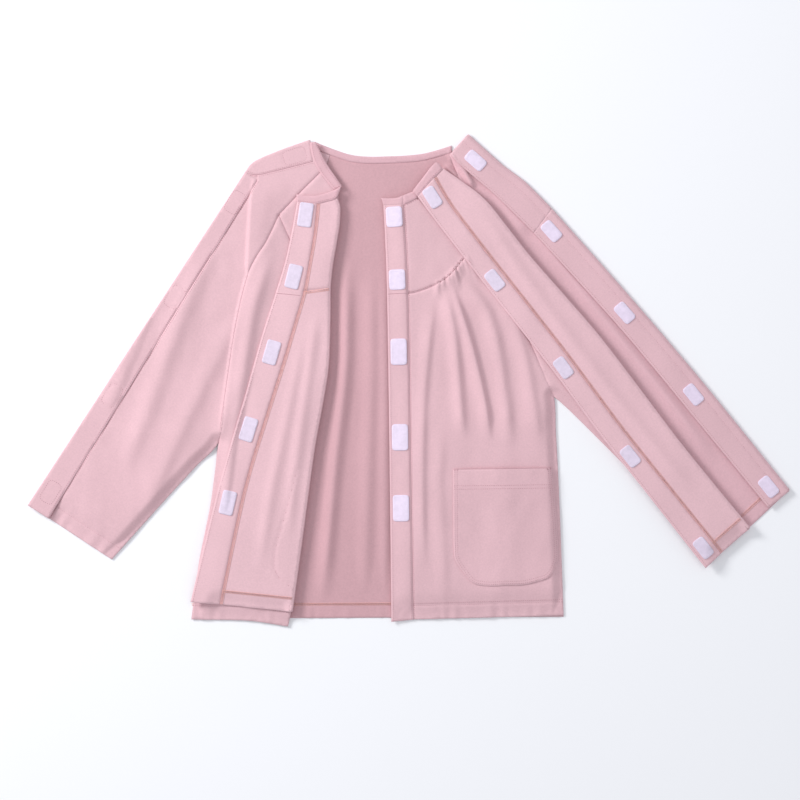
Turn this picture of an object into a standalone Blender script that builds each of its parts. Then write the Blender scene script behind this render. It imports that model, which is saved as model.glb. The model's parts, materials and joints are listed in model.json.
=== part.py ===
"""A patient gown: a hip-length cotton-knit care jacket with raglan sleeves, laid flat on its back.

It opens down the front and along the top of both sleeves, where plackets carry hook-and-loop
patches. The right front is folded back, the right sleeve is closed and the left sleeve is open.
Plan positions are in millimetres from the middle of the gown: +X towards the wearer's left sleeve,
+Y towards the neck, +Z up from the surface that the gown lies on.
"""

import math

import bmesh
import bpy
from mathutils import Matrix, Vector

MM = 0.001

# Driving dimensions.
HALF_SPAN = 569  # middle to either cuff corner
HALF_LENGTH = 367.5  # middle to the neck corner or to the lowest hem
CLOTH = 1.2
PLACKET = 2.0  # cloth folded double over an interlining
PATCH = 1.3
SEAM_GAP = 0.4  # between pieces that are sewn edge to edge
LAYER_GAP = 0.3  # between pieces that lie on each other
NECK_BAND = 9
NECK_BAND_THICKNESS = 2.0

# Heights of the undersides of the layers.
BACK = 0.0
SLEEVE_UNDER_PLACKET = BACK + CLOTH + LAYER_GAP
SLEEVE_LOOPS = SLEEVE_UNDER_PLACKET + PLACKET + LAYER_GAP
SLEEVE_HOOKS = SLEEVE_LOOPS + PATCH + LAYER_GAP
SLEEVE_TOP_PLACKET = SLEEVE_HOOKS + PATCH + LAYER_GAP
BACK_EDGE = 5.2  # the left sleeve's back edge, folded over on itself
FRONT = 8.0
FRONT_TOP = FRONT + CLOTH
POCKET_HALF = FRONT_TOP + LAYER_GAP
FLAP = 12.6  # the right front and the left sleeve's front, folded back
POCKET_DEPTH = 4.6  # room inside the pocket

# Hook-and-loop patches: width across the placket, length along it, and places along it.
FRONT_PATCH = (24, 39)
FRONT_TOP_PATCH = (24, 30)
SLEEVE_PATCH = (19, 32)
PATCH_CORNER = 4
FRONT_PATCH_PLACES = (18, 112, 220, 348, 454)
RIGHT_FRONT_PATCH_PLACES = (18, 112, 230, 350, 464)
LEFT_SLEEVE_PATCH_PLACES = (18, 173, 339, 505, 680)
LEFT_SHOULDER_PATCH_PLACES = (34,)
LEFT_BACK_PATCH_PLACES = (20, 184, 344, 522)
RIGHT_SHOULDER_PATCH_PLACES = (26,)
RIGHT_SLEEVE_PATCH_PLACES = (46, 214, 388, 560)

# Hinge lines lie this far outside the fold or seam that they stand for.
HINGE_CLEARANCE = 2.0
FLAP_HINGE = (FRONT + FLAP + CLOTH) / 2  # midway between the two layers that the fold joins
BACK_EDGE_HINGE = (BACK + BACK_EDGE + PLACKET) / 2
SEAM_HINGE = 10.6  # just over the sheet, so that a placket turns over onto it

MATERIALS = {
    "outer_knit": ((0.78, 0.52, 0.58), 0.95),
    "placket_knit": ((0.74, 0.48, 0.54), 0.95),
    "band_knit": ((0.72, 0.45, 0.51), 0.9),
    "hook_patch": ((0.82, 0.77, 0.88), 0.7),
    "loop_patch": ((0.83, 0.79, 0.88), 0.9),
}


def curve(*points, steps=2):
    """A smooth line through the points, with this many steps between one point and the next."""
    ends = [Vector(p) for p in points]
    before = 2 * ends[0] - ends[1]
    after = 2 * ends[-1] - ends[-2]
    around = [before, *ends, after]
    line = []
    for a, b, c, d in zip(around, around[1:], around[2:], around[3:]):
        for step in range(steps):
            t = step / steps
            line.append(
                0.5 * (2 * b + (c - a) * t + (2 * a - 5 * b + 4 * c - d) * t**2)
                + 0.5 * (3 * b - a - 3 * c + d) * t**3
            )
    line.append(ends[-1])
    return line


def straight(*points):
    return [Vector(p) for p in points]


def back(line):
    """The same line from its other end."""
    return line[::-1]


# The neck opening.
BACK_NECK_TOP = curve((-139, 357), (-85, 338), (-32, 336), (22, 340), (64, 352))
BACK_NECK_SEAM = [p - Vector((0, NECK_BAND)) for p in BACK_NECK_TOP]
RIGHT_NECK_OUTER = curve((-147, 356), (-143, 334), (-132, 312), (-111, 286))
RIGHT_NECK_INNER = curve((-139, 357), (-125, 328), (-111, 307), (-100, 291))
RIGHT_RAGLAN_TOP = Vector((-132, 312))

# The right sleeve, closed, and the shoulder above it.
RIGHT_NECK_CORNER = Vector((-148, 360))
RIGHT_SHOULDER_EDGE = curve(RIGHT_NECK_CORNER, (-188, 346), (-230, 328), (-244, 312), steps=3)
RIGHT_ARM_EDGE = straight((-244, 312), (-HALF_SPAN, -186))
RIGHT_CUFF = straight((-HALF_SPAN, -186), (-445, -267))
RIGHT_CUFF_SEAM_END = Vector((-539, -205))
RIGHT_UNDERARM = curve((-445, -267), (-358, -170), (-284, -90))
RIGHT_SHOULDER_SEAM = straight((-143, 328), (-226, 308))
RIGHT_ARM_SEAM = straight((-226, 300), RIGHT_CUFF_SEAM_END)
RIGHT_BACK_RAGLAN = straight((-284, -90), (-118, 338))
RIGHT_FRONT_RAGLAN_UPPER = curve(RIGHT_RAGLAN_TOP, (-164, 280), (-194, 248))
RIGHT_FRONT_RAGLAN_LOWER = curve((-194, 248), (-214, 206), (-238, 165), (-260, 76), (-284, -90))

# The right front, folded back along a line from the neck to the hem.
RIGHT_SIDE = curve((-284, -90), (-296, -184), (-313, -268), (-325, -357))
RIGHT_HEM = curve((-325, -357), (-238, -359), (-181, -HALF_LENGTH), steps=1)
RIGHT_FOLD_UPPER = curve((-106, 284), (-105, 238), (-115, 177), (-119, 139))
RIGHT_FOLD_LOWER = curve((-119, 139), (-122, 20), (-142, -98), (-164, -260), (-176, -345))
RIGHT_FIXED_YOKE_SEAM = curve((-119, 139), (-141, 159), (-163, 184), (-194, 248))
RIGHT_FLAP_YOKE_SEAM = straight((-157, 134), (-119, 139))
RIGHT_FLAP_NECK_TOP = curve((-167, 278), (-140, 276), (-112, 284), (-101, 291))
RIGHT_FLAP_NECK_SEAM = curve((-166, 267), (-137, 265), (-109, 273))
RIGHT_FLAP_FREE_EDGE = curve(
    (-166, 267), (-184, 177), (-218, 69), (-245, -28), (-283, -158), (-325, -330)
)
RIGHT_FLAP_SEAM_UPPER = curve((-137, 265), (-143, 212), (-157, 134))
RIGHT_FLAP_SEAM_LOWER = curve((-157, 134), (-187, 32), (-218, -66), (-248, -168), (-283, -334))
RIGHT_FLAP_HEM = straight((-283, -334), (-176, -345))
RIGHT_POCKET_OUTER = curve((-270, -132), (-270, -262), (-260, -290), (-232, -303), (-170, -308))
RIGHT_POCKET_MOUTH_END = straight((-170, -132))
RIGHT_POCKET_FLAP_EDGE = curve((-167, -132), (-184, -198), (-200, -255), (-197, -290), (-176, -308))
RIGHT_POCKET_FLAP_FOLD = straight((-175, -308), (-152, -132))

# The left front, lying flat with its right side up.
LEFT_PLACKET_FREE_EDGE = curve((-37, 263), (-32, 150), (-28, -100), (-25, -360))
LEFT_PLACKET_SEAM = curve((-8, 264), (-1, 130), (3, -110), (7, -357))
LEFT_PLACKET_NECK_TOP = straight((-40, 273), (-19, 273), (-8, 277))
LEFT_PLACKET_NECK_SEAM = straight((-8, 264), (-37, 263))
LEFT_NECK_TOP = curve((-8, 277), (5, 282), (18, 286))
LEFT_NECK_SEAM = curve((-8, 264), (0, 267), (14, 275))
LEFT_YOKE_SEAM = curve((-1, 130), (22, 136), (59, 156), (98, 203))
LEFT_RAGLAN_UPPER = straight((98, 203), (14, 275))
LEFT_RAGLAN_LOWER = curve((98, 203), (152, 122), (217, -22))
LEFT_SIDE = curve((217, -22), (224, -142), (232, -351))
LEFT_HEM = straight((232, -351), (7, -357))
LEFT_POCKET_MOUTH = straight((67, -132), (214, -130))
LEFT_POCKET_EDGE = curve((214, -130), (223, -268), (191, -300), (145, -305), (97, -302), (69, -264))
BACK_HEM = straight((232, -353), (-163, -355), (-325, -355))
LEFT_BACK_RAGLAN = straight((61, 339), (217, -22))

# The left sleeve, open along its top: the back half flat, its edge folded over, and the front half
# folded back on itself.
LEFT_NECK_CORNER = Vector((88, HALF_LENGTH))
LEFT_SHOULDER_EDGE = curve(LEFT_NECK_CORNER, (140, 321), (172, 297), (213, 256))
LEFT_ARM_EDGE = curve((213, 256), (316, 140), (434, 2), (HALF_SPAN, -165))
LEFT_SHOULDER_EDGE_INNER = curve((64, 340), (76, 325), (130, 279), (188, 222))
LEFT_ARM_EDGE_INNER = curve((188, 222), (316, 81), (428, -54), (539, -189))
LEFT_CUFF = straight((HALF_SPAN, -165), (509, -221), (460, -264))
LEFT_UNDERARM = curve((460, -264), (322, -124), (244, -46), (217, -22))
LEFT_FRONT_FOLD = curve(
    (50, 316), (86, 291), (120, 262), (178, 188), (287, 62), (400, -87), (509, -221)
)
LEFT_FLAP_NECK_TOP = curve((7, 284), (24, 306), (41, 326), (50, 316))
LEFT_FLAP_NECK_SEAM = curve((14, 276), (31, 296), (50, 316), steps=1)
LEFT_FLAP_FREE_EDGE = curve(
    (14, 276), (43, 237), (118, 140), (212, 21), (287, -80), (352, -162), (444, -279)
)
LEFT_FLAP_SEAM = curve((38, 303), (66, 256), (140, 160), (234, 40), (309, -61), (374, -143), (467, -258))


def ring(*lines):
    """One closed outline from lines laid end to end, in metres."""
    points = []
    for line in lines:
        points += [p for p in line if not points or (p - points[-1]).length > SEAM_GAP]
    if (points[0] - points[-1]).length < SEAM_GAP:
        points.pop()
    return points


def twice_area(points):
    pairs = zip(points, points[1:] + points[:1])
    return sum(a.x * b.y - b.x * a.y for a, b in pairs)


def inset(points, distance):
    """The outline drawn in by a distance, which leaves a gap between pieces that share an edge."""
    if twice_area(points) < 0:
        points = back(points)
    drawn_in = []
    for before, here, after in zip(points[-1:] + points[:-1], points, points[1:] + points[:1]):
        ways = ((here - before).normalized(), (after - here).normalized())
        normals = [Vector((-way.y, way.x)) for way in ways]
        middle = (normals[0] + normals[1]).normalized()
        reach = distance / max(middle.dot(normals[0]), 0.5)
        drawn_in.append(here + middle * reach)
    return drawn_in


def material(name):
    found = bpy.data.materials.get(name)
    if found:
        return found
    colour, roughness = MATERIALS[name]
    made = bpy.data.materials.new(name)
    made.use_nodes = True
    shader = made.node_tree.nodes["Principled BSDF"]
    shader.inputs["Base Color"].default_value = (*colour, 1.0)
    shader.inputs["Roughness"].default_value = roughness
    return made


def raise_outline(shell, outline, bottom, top):
    """Adds a closed slab to the bmesh and returns the face on its top."""
    floor = [shell.verts.new((p.x * MM, p.y * MM, bottom * MM)) for p in outline]
    base = shell.faces.new(floor)
    lifted = bmesh.ops.extrude_face_region(shell, geom=[base])["geom"]
    for vert in (item for item in lifted if isinstance(item, bmesh.types.BMVert)):
        vert.co.z = top * MM
    return next(item for item in lifted if isinstance(item, bmesh.types.BMFace))


def finish_piece(name, shell, finish, hinge=None):
    bmesh.ops.recalc_face_normals(shell, faces=shell.faces)
    mesh = bpy.data.meshes.new(name)
    shell.to_mesh(mesh)
    shell.free()
    mesh.materials.append(material(finish))
    piece = bpy.data.objects.new(name, mesh)
    bpy.context.scene.collection.objects.link(piece)
    if hinge:
        piece.parent = hinge
        piece.matrix_parent_inverse = Matrix.Translation(-hinge.location)
    return piece


def slab(name, outline, bottom, thickness, finish="outer_knit", hinge=None):
    """A flat piece of the outline's shape, kept half a seam gap inside it."""
    shell = bmesh.new()
    raise_outline(shell, inset(outline, SEAM_GAP / 2), bottom, bottom + thickness)
    return finish_piece(name, shell, finish, hinge)


def rounded_rectangle(centre, across, along, size, corner, steps=3):
    """The outline of a patch, whose width runs across a placket and whose length runs along it."""
    width, length = size
    outline = []
    for quarter, (sx, sy) in enumerate(((1, 1), (-1, 1), (-1, -1), (1, -1))):
        middle_x = sx * (width / 2 - corner)
        middle_y = sy * (length / 2 - corner)
        for step in range(steps):
            turn = math.pi / 2 * (quarter + step / (steps - 1))
            x = middle_x + corner * math.cos(turn)
            y = middle_y + corner * math.sin(turn)
            outline.append(centre + across * x + along * y)
    return outline


def place_along(edge_a, edge_b, distance):
    """The point midway between two edges at a distance from their first ends, and the way there."""
    samples = 60
    shares = [i / samples for i in range(samples + 1)]
    middle = [(at_share(edge_a, share) + at_share(edge_b, share)) / 2 for share in shares]
    walked = 0.0
    for a, b in zip(middle, middle[1:]):
        step = (b - a).length
        if walked + step >= distance:
            return a + (b - a) * ((distance - walked) / step), (b - a).normalized()
        walked += step
    return middle[-1], (middle[-1] - middle[-2]).normalized()


def at_share(line, share):
    """The point at this share of a line's length."""
    lengths = [(b - a).length for a, b in zip(line, line[1:])]
    left = share * sum(lengths)
    for (a, b), length in zip(zip(line, line[1:]), lengths):
        if left <= length:
            return a + (b - a) * (left / length)
        left -= length
    return line[-1].copy()


def patches(name, edges, places, sizes, bottom, finish, hinge=None, first=1):
    """A row of patches down the middle of a placket."""
    for number, (distance, size) in enumerate(zip(places, sizes), start=first):
        centre, along = place_along(*edges, distance)
        across = Vector((along.y, -along.x))
        outline = rounded_rectangle(centre, across, along, size, PATCH_CORNER)
        slab(f"{name}_{number}", outline, bottom, PATCH, finish, hinge)


def hinge_at(name, line, outward, height):
    """An empty on the hinge's line, which touches the line's furthest point on the outward side."""
    way = (line[-1] - line[0]).normalized()
    out = Vector((way.y, -way.x))
    if out.dot(Vector(outward)) < 0:
        out = -out
    reach = max((p - line[0]).dot(out) for p in line) + HINGE_CLEARANCE
    point = (line[0] + line[-1]) / 2 + out * reach
    empty = bpy.data.objects.new(name, None)
    empty.location = (point.x * MM, point.y * MM, height * MM)
    empty["axis"] = (way.x, way.y, 0.0)
    bpy.context.scene.collection.objects.link(empty)
    return empty


def back_pieces():
    """The layer that lies on the surface: the back and the back halves of both sleeves."""
    neck = [p for p in BACK_NECK_SEAM if p.x >= RIGHT_BACK_RAGLAN[-1].x]
    slab(
        "back_panel",
        ring(RIGHT_BACK_RAGLAN, neck, LEFT_BACK_RAGLAN, LEFT_SIDE[1:-1], BACK_HEM, back(RIGHT_SIDE)[1:]),
        BACK,
        CLOTH,
    )
    slab(
        "back_neck_band",
        ring(BACK_NECK_TOP, back(BACK_NECK_SEAM)),
        BACK,
        NECK_BAND_THICKNESS,
        "band_knit",
    )
    neck = [p for p in BACK_NECK_SEAM if p.x < RIGHT_BACK_RAGLAN[-1].x]
    slab(
        "right_sleeve_back",
        ring(
            RIGHT_SHOULDER_EDGE, RIGHT_ARM_EDGE, RIGHT_CUFF, RIGHT_UNDERARM, RIGHT_BACK_RAGLAN, back(neck)
        ),
        BACK,
        CLOTH,
    )
    slab(
        "left_sleeve_back",
        ring(LEFT_SHOULDER_EDGE, LEFT_ARM_EDGE, LEFT_CUFF, LEFT_UNDERARM, back(LEFT_BACK_RAGLAN)),
        BACK,
        CLOTH,
    )


def right_sleeve():
    """The closed sleeve: its front, the plackets along its top and the patches between them."""
    slab(
        "right_sleeve_front",
        ring(
            back(RIGHT_SHOULDER_SEAM),
            RIGHT_NECK_OUTER[2:5],
            RIGHT_FRONT_RAGLAN_UPPER,
            RIGHT_FRONT_RAGLAN_LOWER,
            back(RIGHT_UNDERARM),
            straight(RIGHT_CUFF_SEAM_END),
            back(RIGHT_ARM_SEAM),
        ),
        FRONT,
        CLOTH,
    )
    slab(
        "right_sleeve_neck_band",
        ring(RIGHT_NECK_OUTER, back(RIGHT_NECK_INNER)),
        FRONT,
        NECK_BAND_THICKNESS,
        "band_knit",
    )
    shoulder = ring(RIGHT_SHOULDER_EDGE, back(RIGHT_SHOULDER_SEAM))
    arm = ring(RIGHT_ARM_EDGE, back(RIGHT_ARM_SEAM))
    shoulder_edges = (RIGHT_SHOULDER_EDGE, RIGHT_SHOULDER_SEAM)
    arm_edges = (RIGHT_ARM_EDGE, RIGHT_ARM_SEAM)
    shoulder_hinge = hinge_at(
        "right_shoulder_placket_peel", RIGHT_SHOULDER_SEAM, (0, -1), SEAM_HINGE
    )
    arm_hinge = hinge_at("right_sleeve_placket_peel", RIGHT_ARM_SEAM, (1, 0), SEAM_HINGE)
    rows = (
        ("right_shoulder", shoulder, shoulder_edges, RIGHT_SHOULDER_PATCH_PLACES, shoulder_hinge),
        ("right_sleeve", arm, arm_edges, RIGHT_SLEEVE_PATCH_PLACES, arm_hinge),
    )
    for name, outline, edges, places, hinge in rows:
        sizes = [SLEEVE_PATCH] * len(places)
        slab(f"{name}_under_placket", outline, SLEEVE_UNDER_PLACKET, PLACKET, "placket_knit")
        slab(f"{name}_top_placket", outline, SLEEVE_TOP_PLACKET, PLACKET, "placket_knit", hinge)
        patches(f"{name}_loop_patch", edges, places, sizes, SLEEVE_LOOPS, "loop_patch")
        patches(f"{name}_hook_patch", edges, places, sizes, SLEEVE_HOOKS, "hook_patch", hinge)


def right_front():
    """The part of the right front that stays down, with its half of the pocket."""
    slab(
        "right_front_yoke",
        ring(
            RIGHT_FRONT_RAGLAN_UPPER,
            back(RIGHT_FIXED_YOKE_SEAM),
            back(RIGHT_FOLD_UPPER),
            back(RIGHT_NECK_OUTER[5:]),
        ),
        FRONT,
        CLOTH,
    )
    slab(
        "right_front_panel",
        ring(
            RIGHT_FRONT_RAGLAN_LOWER,
            RIGHT_SIDE,
            RIGHT_HEM,
            back(RIGHT_FOLD_LOWER),
            RIGHT_FIXED_YOKE_SEAM,
        ),
        FRONT,
        CLOTH,
    )
    slab(
        "right_pocket",
        ring(RIGHT_POCKET_MOUTH_END, RIGHT_POCKET_OUTER),
        POCKET_HALF,
        CLOTH,
    )


def right_front_flap():
    """The part of the right front that is folded back, with its inside up."""
    hinge = hinge_at("right_front_fold", RIGHT_FOLD_UPPER + RIGHT_FOLD_LOWER, (1, 0), FLAP_HINGE)
    slab(
        "right_front_flap_yoke",
        ring(
            RIGHT_FLAP_NECK_SEAM[2:],
            RIGHT_FOLD_UPPER[1:],
            back(RIGHT_FLAP_YOKE_SEAM),
            back(RIGHT_FLAP_SEAM_UPPER),
        ),
        FLAP,
        CLOTH,
        hinge=hinge,
    )
    slab(
        "right_front_flap_panel",
        ring(RIGHT_FLAP_YOKE_SEAM, RIGHT_FOLD_LOWER, back(RIGHT_FLAP_HEM), back(RIGHT_FLAP_SEAM_LOWER)),
        FLAP,
        CLOTH,
        hinge=hinge,
    )
    seam = RIGHT_FLAP_SEAM_UPPER + RIGHT_FLAP_SEAM_LOWER[1:]
    slab(
        "right_front_placket",
        ring(RIGHT_FLAP_FREE_EDGE, back(seam), RIGHT_FLAP_NECK_SEAM[1:2]),
        FLAP,
        PLACKET,
        "placket_knit",
        hinge,
    )
    slab(
        "right_front_neck_band",
        ring(RIGHT_FLAP_NECK_TOP, back(RIGHT_FLAP_NECK_SEAM)),
        FLAP,
        NECK_BAND_THICKNESS,
        "band_knit",
        hinge,
    )
    slab(
        "right_pocket_flap_half",
        ring(RIGHT_POCKET_FLAP_EDGE, RIGHT_POCKET_FLAP_FOLD),
        FLAP - LAYER_GAP - CLOTH,
        CLOTH,
        hinge=hinge,
    )
    patches(
        "right_front_hook_patch",
        (RIGHT_FLAP_FREE_EDGE, seam),
        RIGHT_FRONT_PATCH_PLACES,
        [FRONT_PATCH] * len(RIGHT_FRONT_PATCH_PLACES),
        FLAP + PLACKET + LAYER_GAP,
        "hook_patch",
        hinge,
    )


def left_front():
    """The left front: yoke, panel, neck band and pocket."""
    slab(
        "left_front_yoke",
        ring(LEFT_NECK_SEAM, back(LEFT_RAGLAN_UPPER), back(LEFT_YOKE_SEAM), LEFT_PLACKET_SEAM[2:0:-1]),
        FRONT,
        CLOTH,
    )
    slab(
        "left_front_panel",
        ring(LEFT_YOKE_SEAM, LEFT_RAGLAN_LOWER, LEFT_SIDE, LEFT_HEM, back(LEFT_PLACKET_SEAM)[:-2]),
        FRONT,
        CLOTH,
    )
    slab(
        "left_front_neck_band",
        ring(LEFT_NECK_TOP, back(LEFT_NECK_SEAM)),
        FRONT,
        NECK_BAND_THICKNESS,
        "band_knit",
    )
    left_pocket()


def left_pocket():
    """A patch pocket, open towards the neck: a shallow tray with its face up."""
    outline = ring(LEFT_POCKET_MOUTH, LEFT_POCKET_EDGE)
    wall = 2 * CLOTH
    bottom = FRONT_TOP + LAYER_GAP
    roof = bottom + POCKET_DEPTH
    shell = bmesh.new()
    raise_outline(shell, outline, bottom, roof + CLOTH)
    pocket = finish_piece("left_pocket", shell, "outer_knit")

    room = bmesh.new()
    hollow = inset(outline, wall)
    mouth = max(p.y for p in outline)
    for point in hollow:
        if point.y > mouth - 3 * wall:
            point.y = mouth + wall
    raise_outline(room, hollow, bottom - CLOTH, roof)
    cutter = finish_piece("left_pocket_room", room, "outer_knit")
    cutter.hide_render = True
    cutter.display_type = "WIRE"
    cut = pocket.modifiers.new("room", "BOOLEAN")
    cut.object = cutter
    cut.operation = "DIFFERENCE"


def left_front_edge():
    """The left front's placket, which folds back over the front."""
    hinge = hinge_at("left_front_placket_fold", LEFT_PLACKET_SEAM, (1, 0), SEAM_HINGE)
    slab(
        "left_front_placket",
        ring(LEFT_PLACKET_FREE_EDGE, back(LEFT_PLACKET_SEAM)),
        FRONT,
        PLACKET,
        "placket_knit",
        hinge,
    )
    slab(
        "left_front_placket_neck_band",
        ring(LEFT_PLACKET_NECK_TOP, LEFT_PLACKET_NECK_SEAM),
        FRONT,
        NECK_BAND_THICKNESS,
        "band_knit",
        hinge,
    )
    patches(
        "left_front_loop_patch",
        (LEFT_PLACKET_FREE_EDGE, LEFT_PLACKET_SEAM),
        FRONT_PATCH_PLACES,
        [FRONT_TOP_PATCH] * 2 + [FRONT_PATCH] * (len(FRONT_PATCH_PLACES) - 2),
        FRONT + PLACKET + LAYER_GAP,
        "loop_patch",
        hinge,
    )


def left_sleeve_front():
    """The front half of the open sleeve: the part that stays down, and the part folded back."""
    slab(
        "left_sleeve_front",
        ring(
            LEFT_FRONT_FOLD,
            LEFT_CUFF[1:],
            LEFT_UNDERARM,
            back(LEFT_RAGLAN_LOWER),
            LEFT_RAGLAN_UPPER,
        ),
        FRONT,
        CLOTH,
    )
    hinge = hinge_at("left_sleeve_front_fold", LEFT_FRONT_FOLD, (1, 1), FLAP_HINGE)
    slab(
        "left_sleeve_front_flap",
        ring(LEFT_FRONT_FOLD, back(LEFT_FLAP_SEAM)),
        FLAP,
        CLOTH,
        hinge=hinge,
    )
    slab(
        "left_sleeve_front_placket",
        ring(LEFT_FLAP_FREE_EDGE, back(LEFT_FLAP_SEAM)),
        FLAP,
        PLACKET,
        "placket_knit",
        hinge,
    )
    slab(
        "left_sleeve_neck_band",
        ring(LEFT_FLAP_NECK_TOP, back(LEFT_FLAP_NECK_SEAM)),
        FLAP,
        NECK_BAND_THICKNESS,
        "band_knit",
        hinge,
    )
    patches(
        "left_sleeve_hook_patch",
        (LEFT_FLAP_FREE_EDGE, LEFT_FLAP_SEAM),
        LEFT_SLEEVE_PATCH_PLACES,
        [SLEEVE_PATCH] * len(LEFT_SLEEVE_PATCH_PLACES),
        FLAP + PLACKET + LAYER_GAP,
        "hook_patch",
        hinge,
    )


def left_sleeve_back_edge():
    """The placket of the open sleeve's back half, folded over in two lengths."""
    rows = (
        (
            "left_shoulder_back",
            (LEFT_SHOULDER_EDGE, LEFT_SHOULDER_EDGE_INNER),
            LEFT_SHOULDER_PATCH_PLACES,
        ),
        ("left_sleeve_back", (LEFT_ARM_EDGE, LEFT_ARM_EDGE_INNER), LEFT_BACK_PATCH_PLACES),
    )
    for name, edges, places in rows:
        outer, inner = edges
        hinge = hinge_at(f"{name}_fold", outer, (1, 1), BACK_EDGE_HINGE)
        slab(f"{name}_placket", ring(outer, back(inner)), BACK_EDGE, PLACKET, "placket_knit", hinge)
        patches(
            f"{name}_loop_patch",
            edges,
            places,
            [SLEEVE_PATCH] * len(places),
            BACK_EDGE + PLACKET + LAYER_GAP,
            "loop_patch",
            hinge,
        )


def clear_scene():
    for leftover in list(bpy.data.objects):
        bpy.data.objects.remove(leftover)


def main():
    clear_scene()
    back_pieces()
    right_sleeve()
    right_front()
    right_front_flap()
    left_front()
    left_front_edge()
    left_sleeve_front()
    left_sleeve_back_edge()


main()
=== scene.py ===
"""The looks of the patient gown: knit cloth, plackets, patches, seams and stitches on the CAD frame.

Each cloth piece takes its outline from its CAD node. Its surface follows the height field of its
layer, which is a sum of folds, seams and hems, so pieces that are sewn together meet.
"""

import json
import math

import bpy  # noqa: E402
import numpy as np  # noqa: E402
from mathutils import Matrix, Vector, geometry, noise  # noqa: E402


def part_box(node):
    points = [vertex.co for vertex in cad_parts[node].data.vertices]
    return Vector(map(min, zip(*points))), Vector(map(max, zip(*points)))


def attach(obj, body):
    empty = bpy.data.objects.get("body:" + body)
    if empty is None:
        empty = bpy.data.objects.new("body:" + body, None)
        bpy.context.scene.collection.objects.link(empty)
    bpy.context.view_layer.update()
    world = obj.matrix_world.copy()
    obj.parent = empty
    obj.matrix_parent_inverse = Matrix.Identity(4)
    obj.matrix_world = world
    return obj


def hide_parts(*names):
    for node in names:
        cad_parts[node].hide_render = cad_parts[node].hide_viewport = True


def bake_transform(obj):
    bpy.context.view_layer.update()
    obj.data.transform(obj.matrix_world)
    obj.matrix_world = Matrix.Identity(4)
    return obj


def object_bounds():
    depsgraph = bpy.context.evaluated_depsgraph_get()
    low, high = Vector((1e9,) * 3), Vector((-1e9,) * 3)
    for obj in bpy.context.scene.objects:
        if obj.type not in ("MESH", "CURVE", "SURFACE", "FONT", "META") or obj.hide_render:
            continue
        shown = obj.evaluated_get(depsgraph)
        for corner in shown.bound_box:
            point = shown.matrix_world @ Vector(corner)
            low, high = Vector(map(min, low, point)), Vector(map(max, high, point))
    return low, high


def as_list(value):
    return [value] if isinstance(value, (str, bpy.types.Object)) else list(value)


MM = 0.001

# Cloth.
CLOTH = 1.0 * MM
DOUBLED = 1.9 * MM
PATCH = 1.3 * MM
GRID = 3.5 * MM
STRIP_GRID = 3.0 * MM
FINE_GRID = 2.4 * MM
SEAM_REACH = 0.3 * MM
LAYER_GAP = 0.25 * MM
FLAT_REACH = 14 * MM
LINE_STEP = 7 * MM
SPLINE_STEPS = 12
PATCH_GRID = 1.8 * MM
PATCH_BORDER = 2.4 * MM
PATCH_BEDDED = 0.1 * MM
GATHER_START = 4 * MM
GATHER_SWAY = 3 * MM
FOLD_STEP = 12 * MM
PATH_STEP = 14 * MM
ROLL_STEPS = 11
ROLL_TUCK = 2.5 * MM
STRIP_HALF = 3 * MM
STRIP_SUNK = 0.25 * MM
SUNK = 0.45 * MM
CORNER_TURN = math.radians(50)
KEYS_PER_METRE = 1e5
SLIVER = 2e-9
CORNER_TUCK = 9 * MM
CORNER_STEPS = 8
CORNER_POINTS = 30
NARROWEST_SHEET = 10 * MM
CURVED_SHARE = 0.45

# Stitching.
STITCH_PITCH = 3.2 * MM
STITCH_LENGTH = 2.3 * MM
STITCH_RADIUS = 0.5 * MM
SEAM_RADIUS = 0.42 * MM
TOPSTITCH = 2.2 * MM
INSIDE_HEM = 20 * MM
POCKET_ROWS = (2 * MM, 5.5 * MM)
POCKET_BAND_ROWS = (25 * MM, 30 * MM)
NARROW_TAPE = 1.6 * MM
PATCH_STITCH_RADIUS = 0.3 * MM
HEM_DEPTH = 20 * MM
HEM_RISE = 0.5 * MM
HEM_STEP = (1.5 * MM, 2.5 * MM)
PUCKER_HEIGHT = 0.7 * MM
PUCKER_PITCH = 21 * MM
BAND_WIDTH = 11 * MM
UNDERARM_ROW = 11 * MM
TWIN_NEEDLE = 3.5 * MM
OVERLOCK_WIDTH = 3.0 * MM
OVERLOCK_PITCH = 2.4 * MM
OVERLOCK_LOOP_HEIGHT = 0.4 * MM
OVERLOCK_LOOP_RADIUS = 0.38 * MM
OVERLOCK_RAIL_HEIGHT = 0.35 * MM
OVERLOCK_RAIL_RADIUS = 0.34 * MM
OVERLOCK_SIDES = 4
YOKE_LINE_POINTS = 12
OVERLOCK_INSET = 3 * MM
YOKE_OVERLOCK_INSET = 2 * MM
BAR_TACKS = (1.2 * MM, 2.4 * MM)
BAR_TACK_ENDS = ((0.0, 0.06), (0.94, 1.0))

# Camera, straight above the gown.
CAMERA_HEIGHT = 3.4
FRAME_WIDTH = 1.2
SENSOR = 36.0
LOOK_OFFSET = Vector((-0.0128, -0.0285, 0.0))

# Light: where each lamp is, its size and its power.
KEY_LIGHT = ((-2.6, 1.5, 1.7), 1.0, 94)
FILL_LIGHT = ((0.6, 0.4, 3.6), 2.5, 23)
WORLD_COLOUR = (0.93, 0.95, 1.0, 1.0)
WORLD_STRENGTH = 0.60
FLOOR_HALF = 6.0
FLOOR_COLOUR = (0.90, 0.905, 0.93, 1.0)

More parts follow.
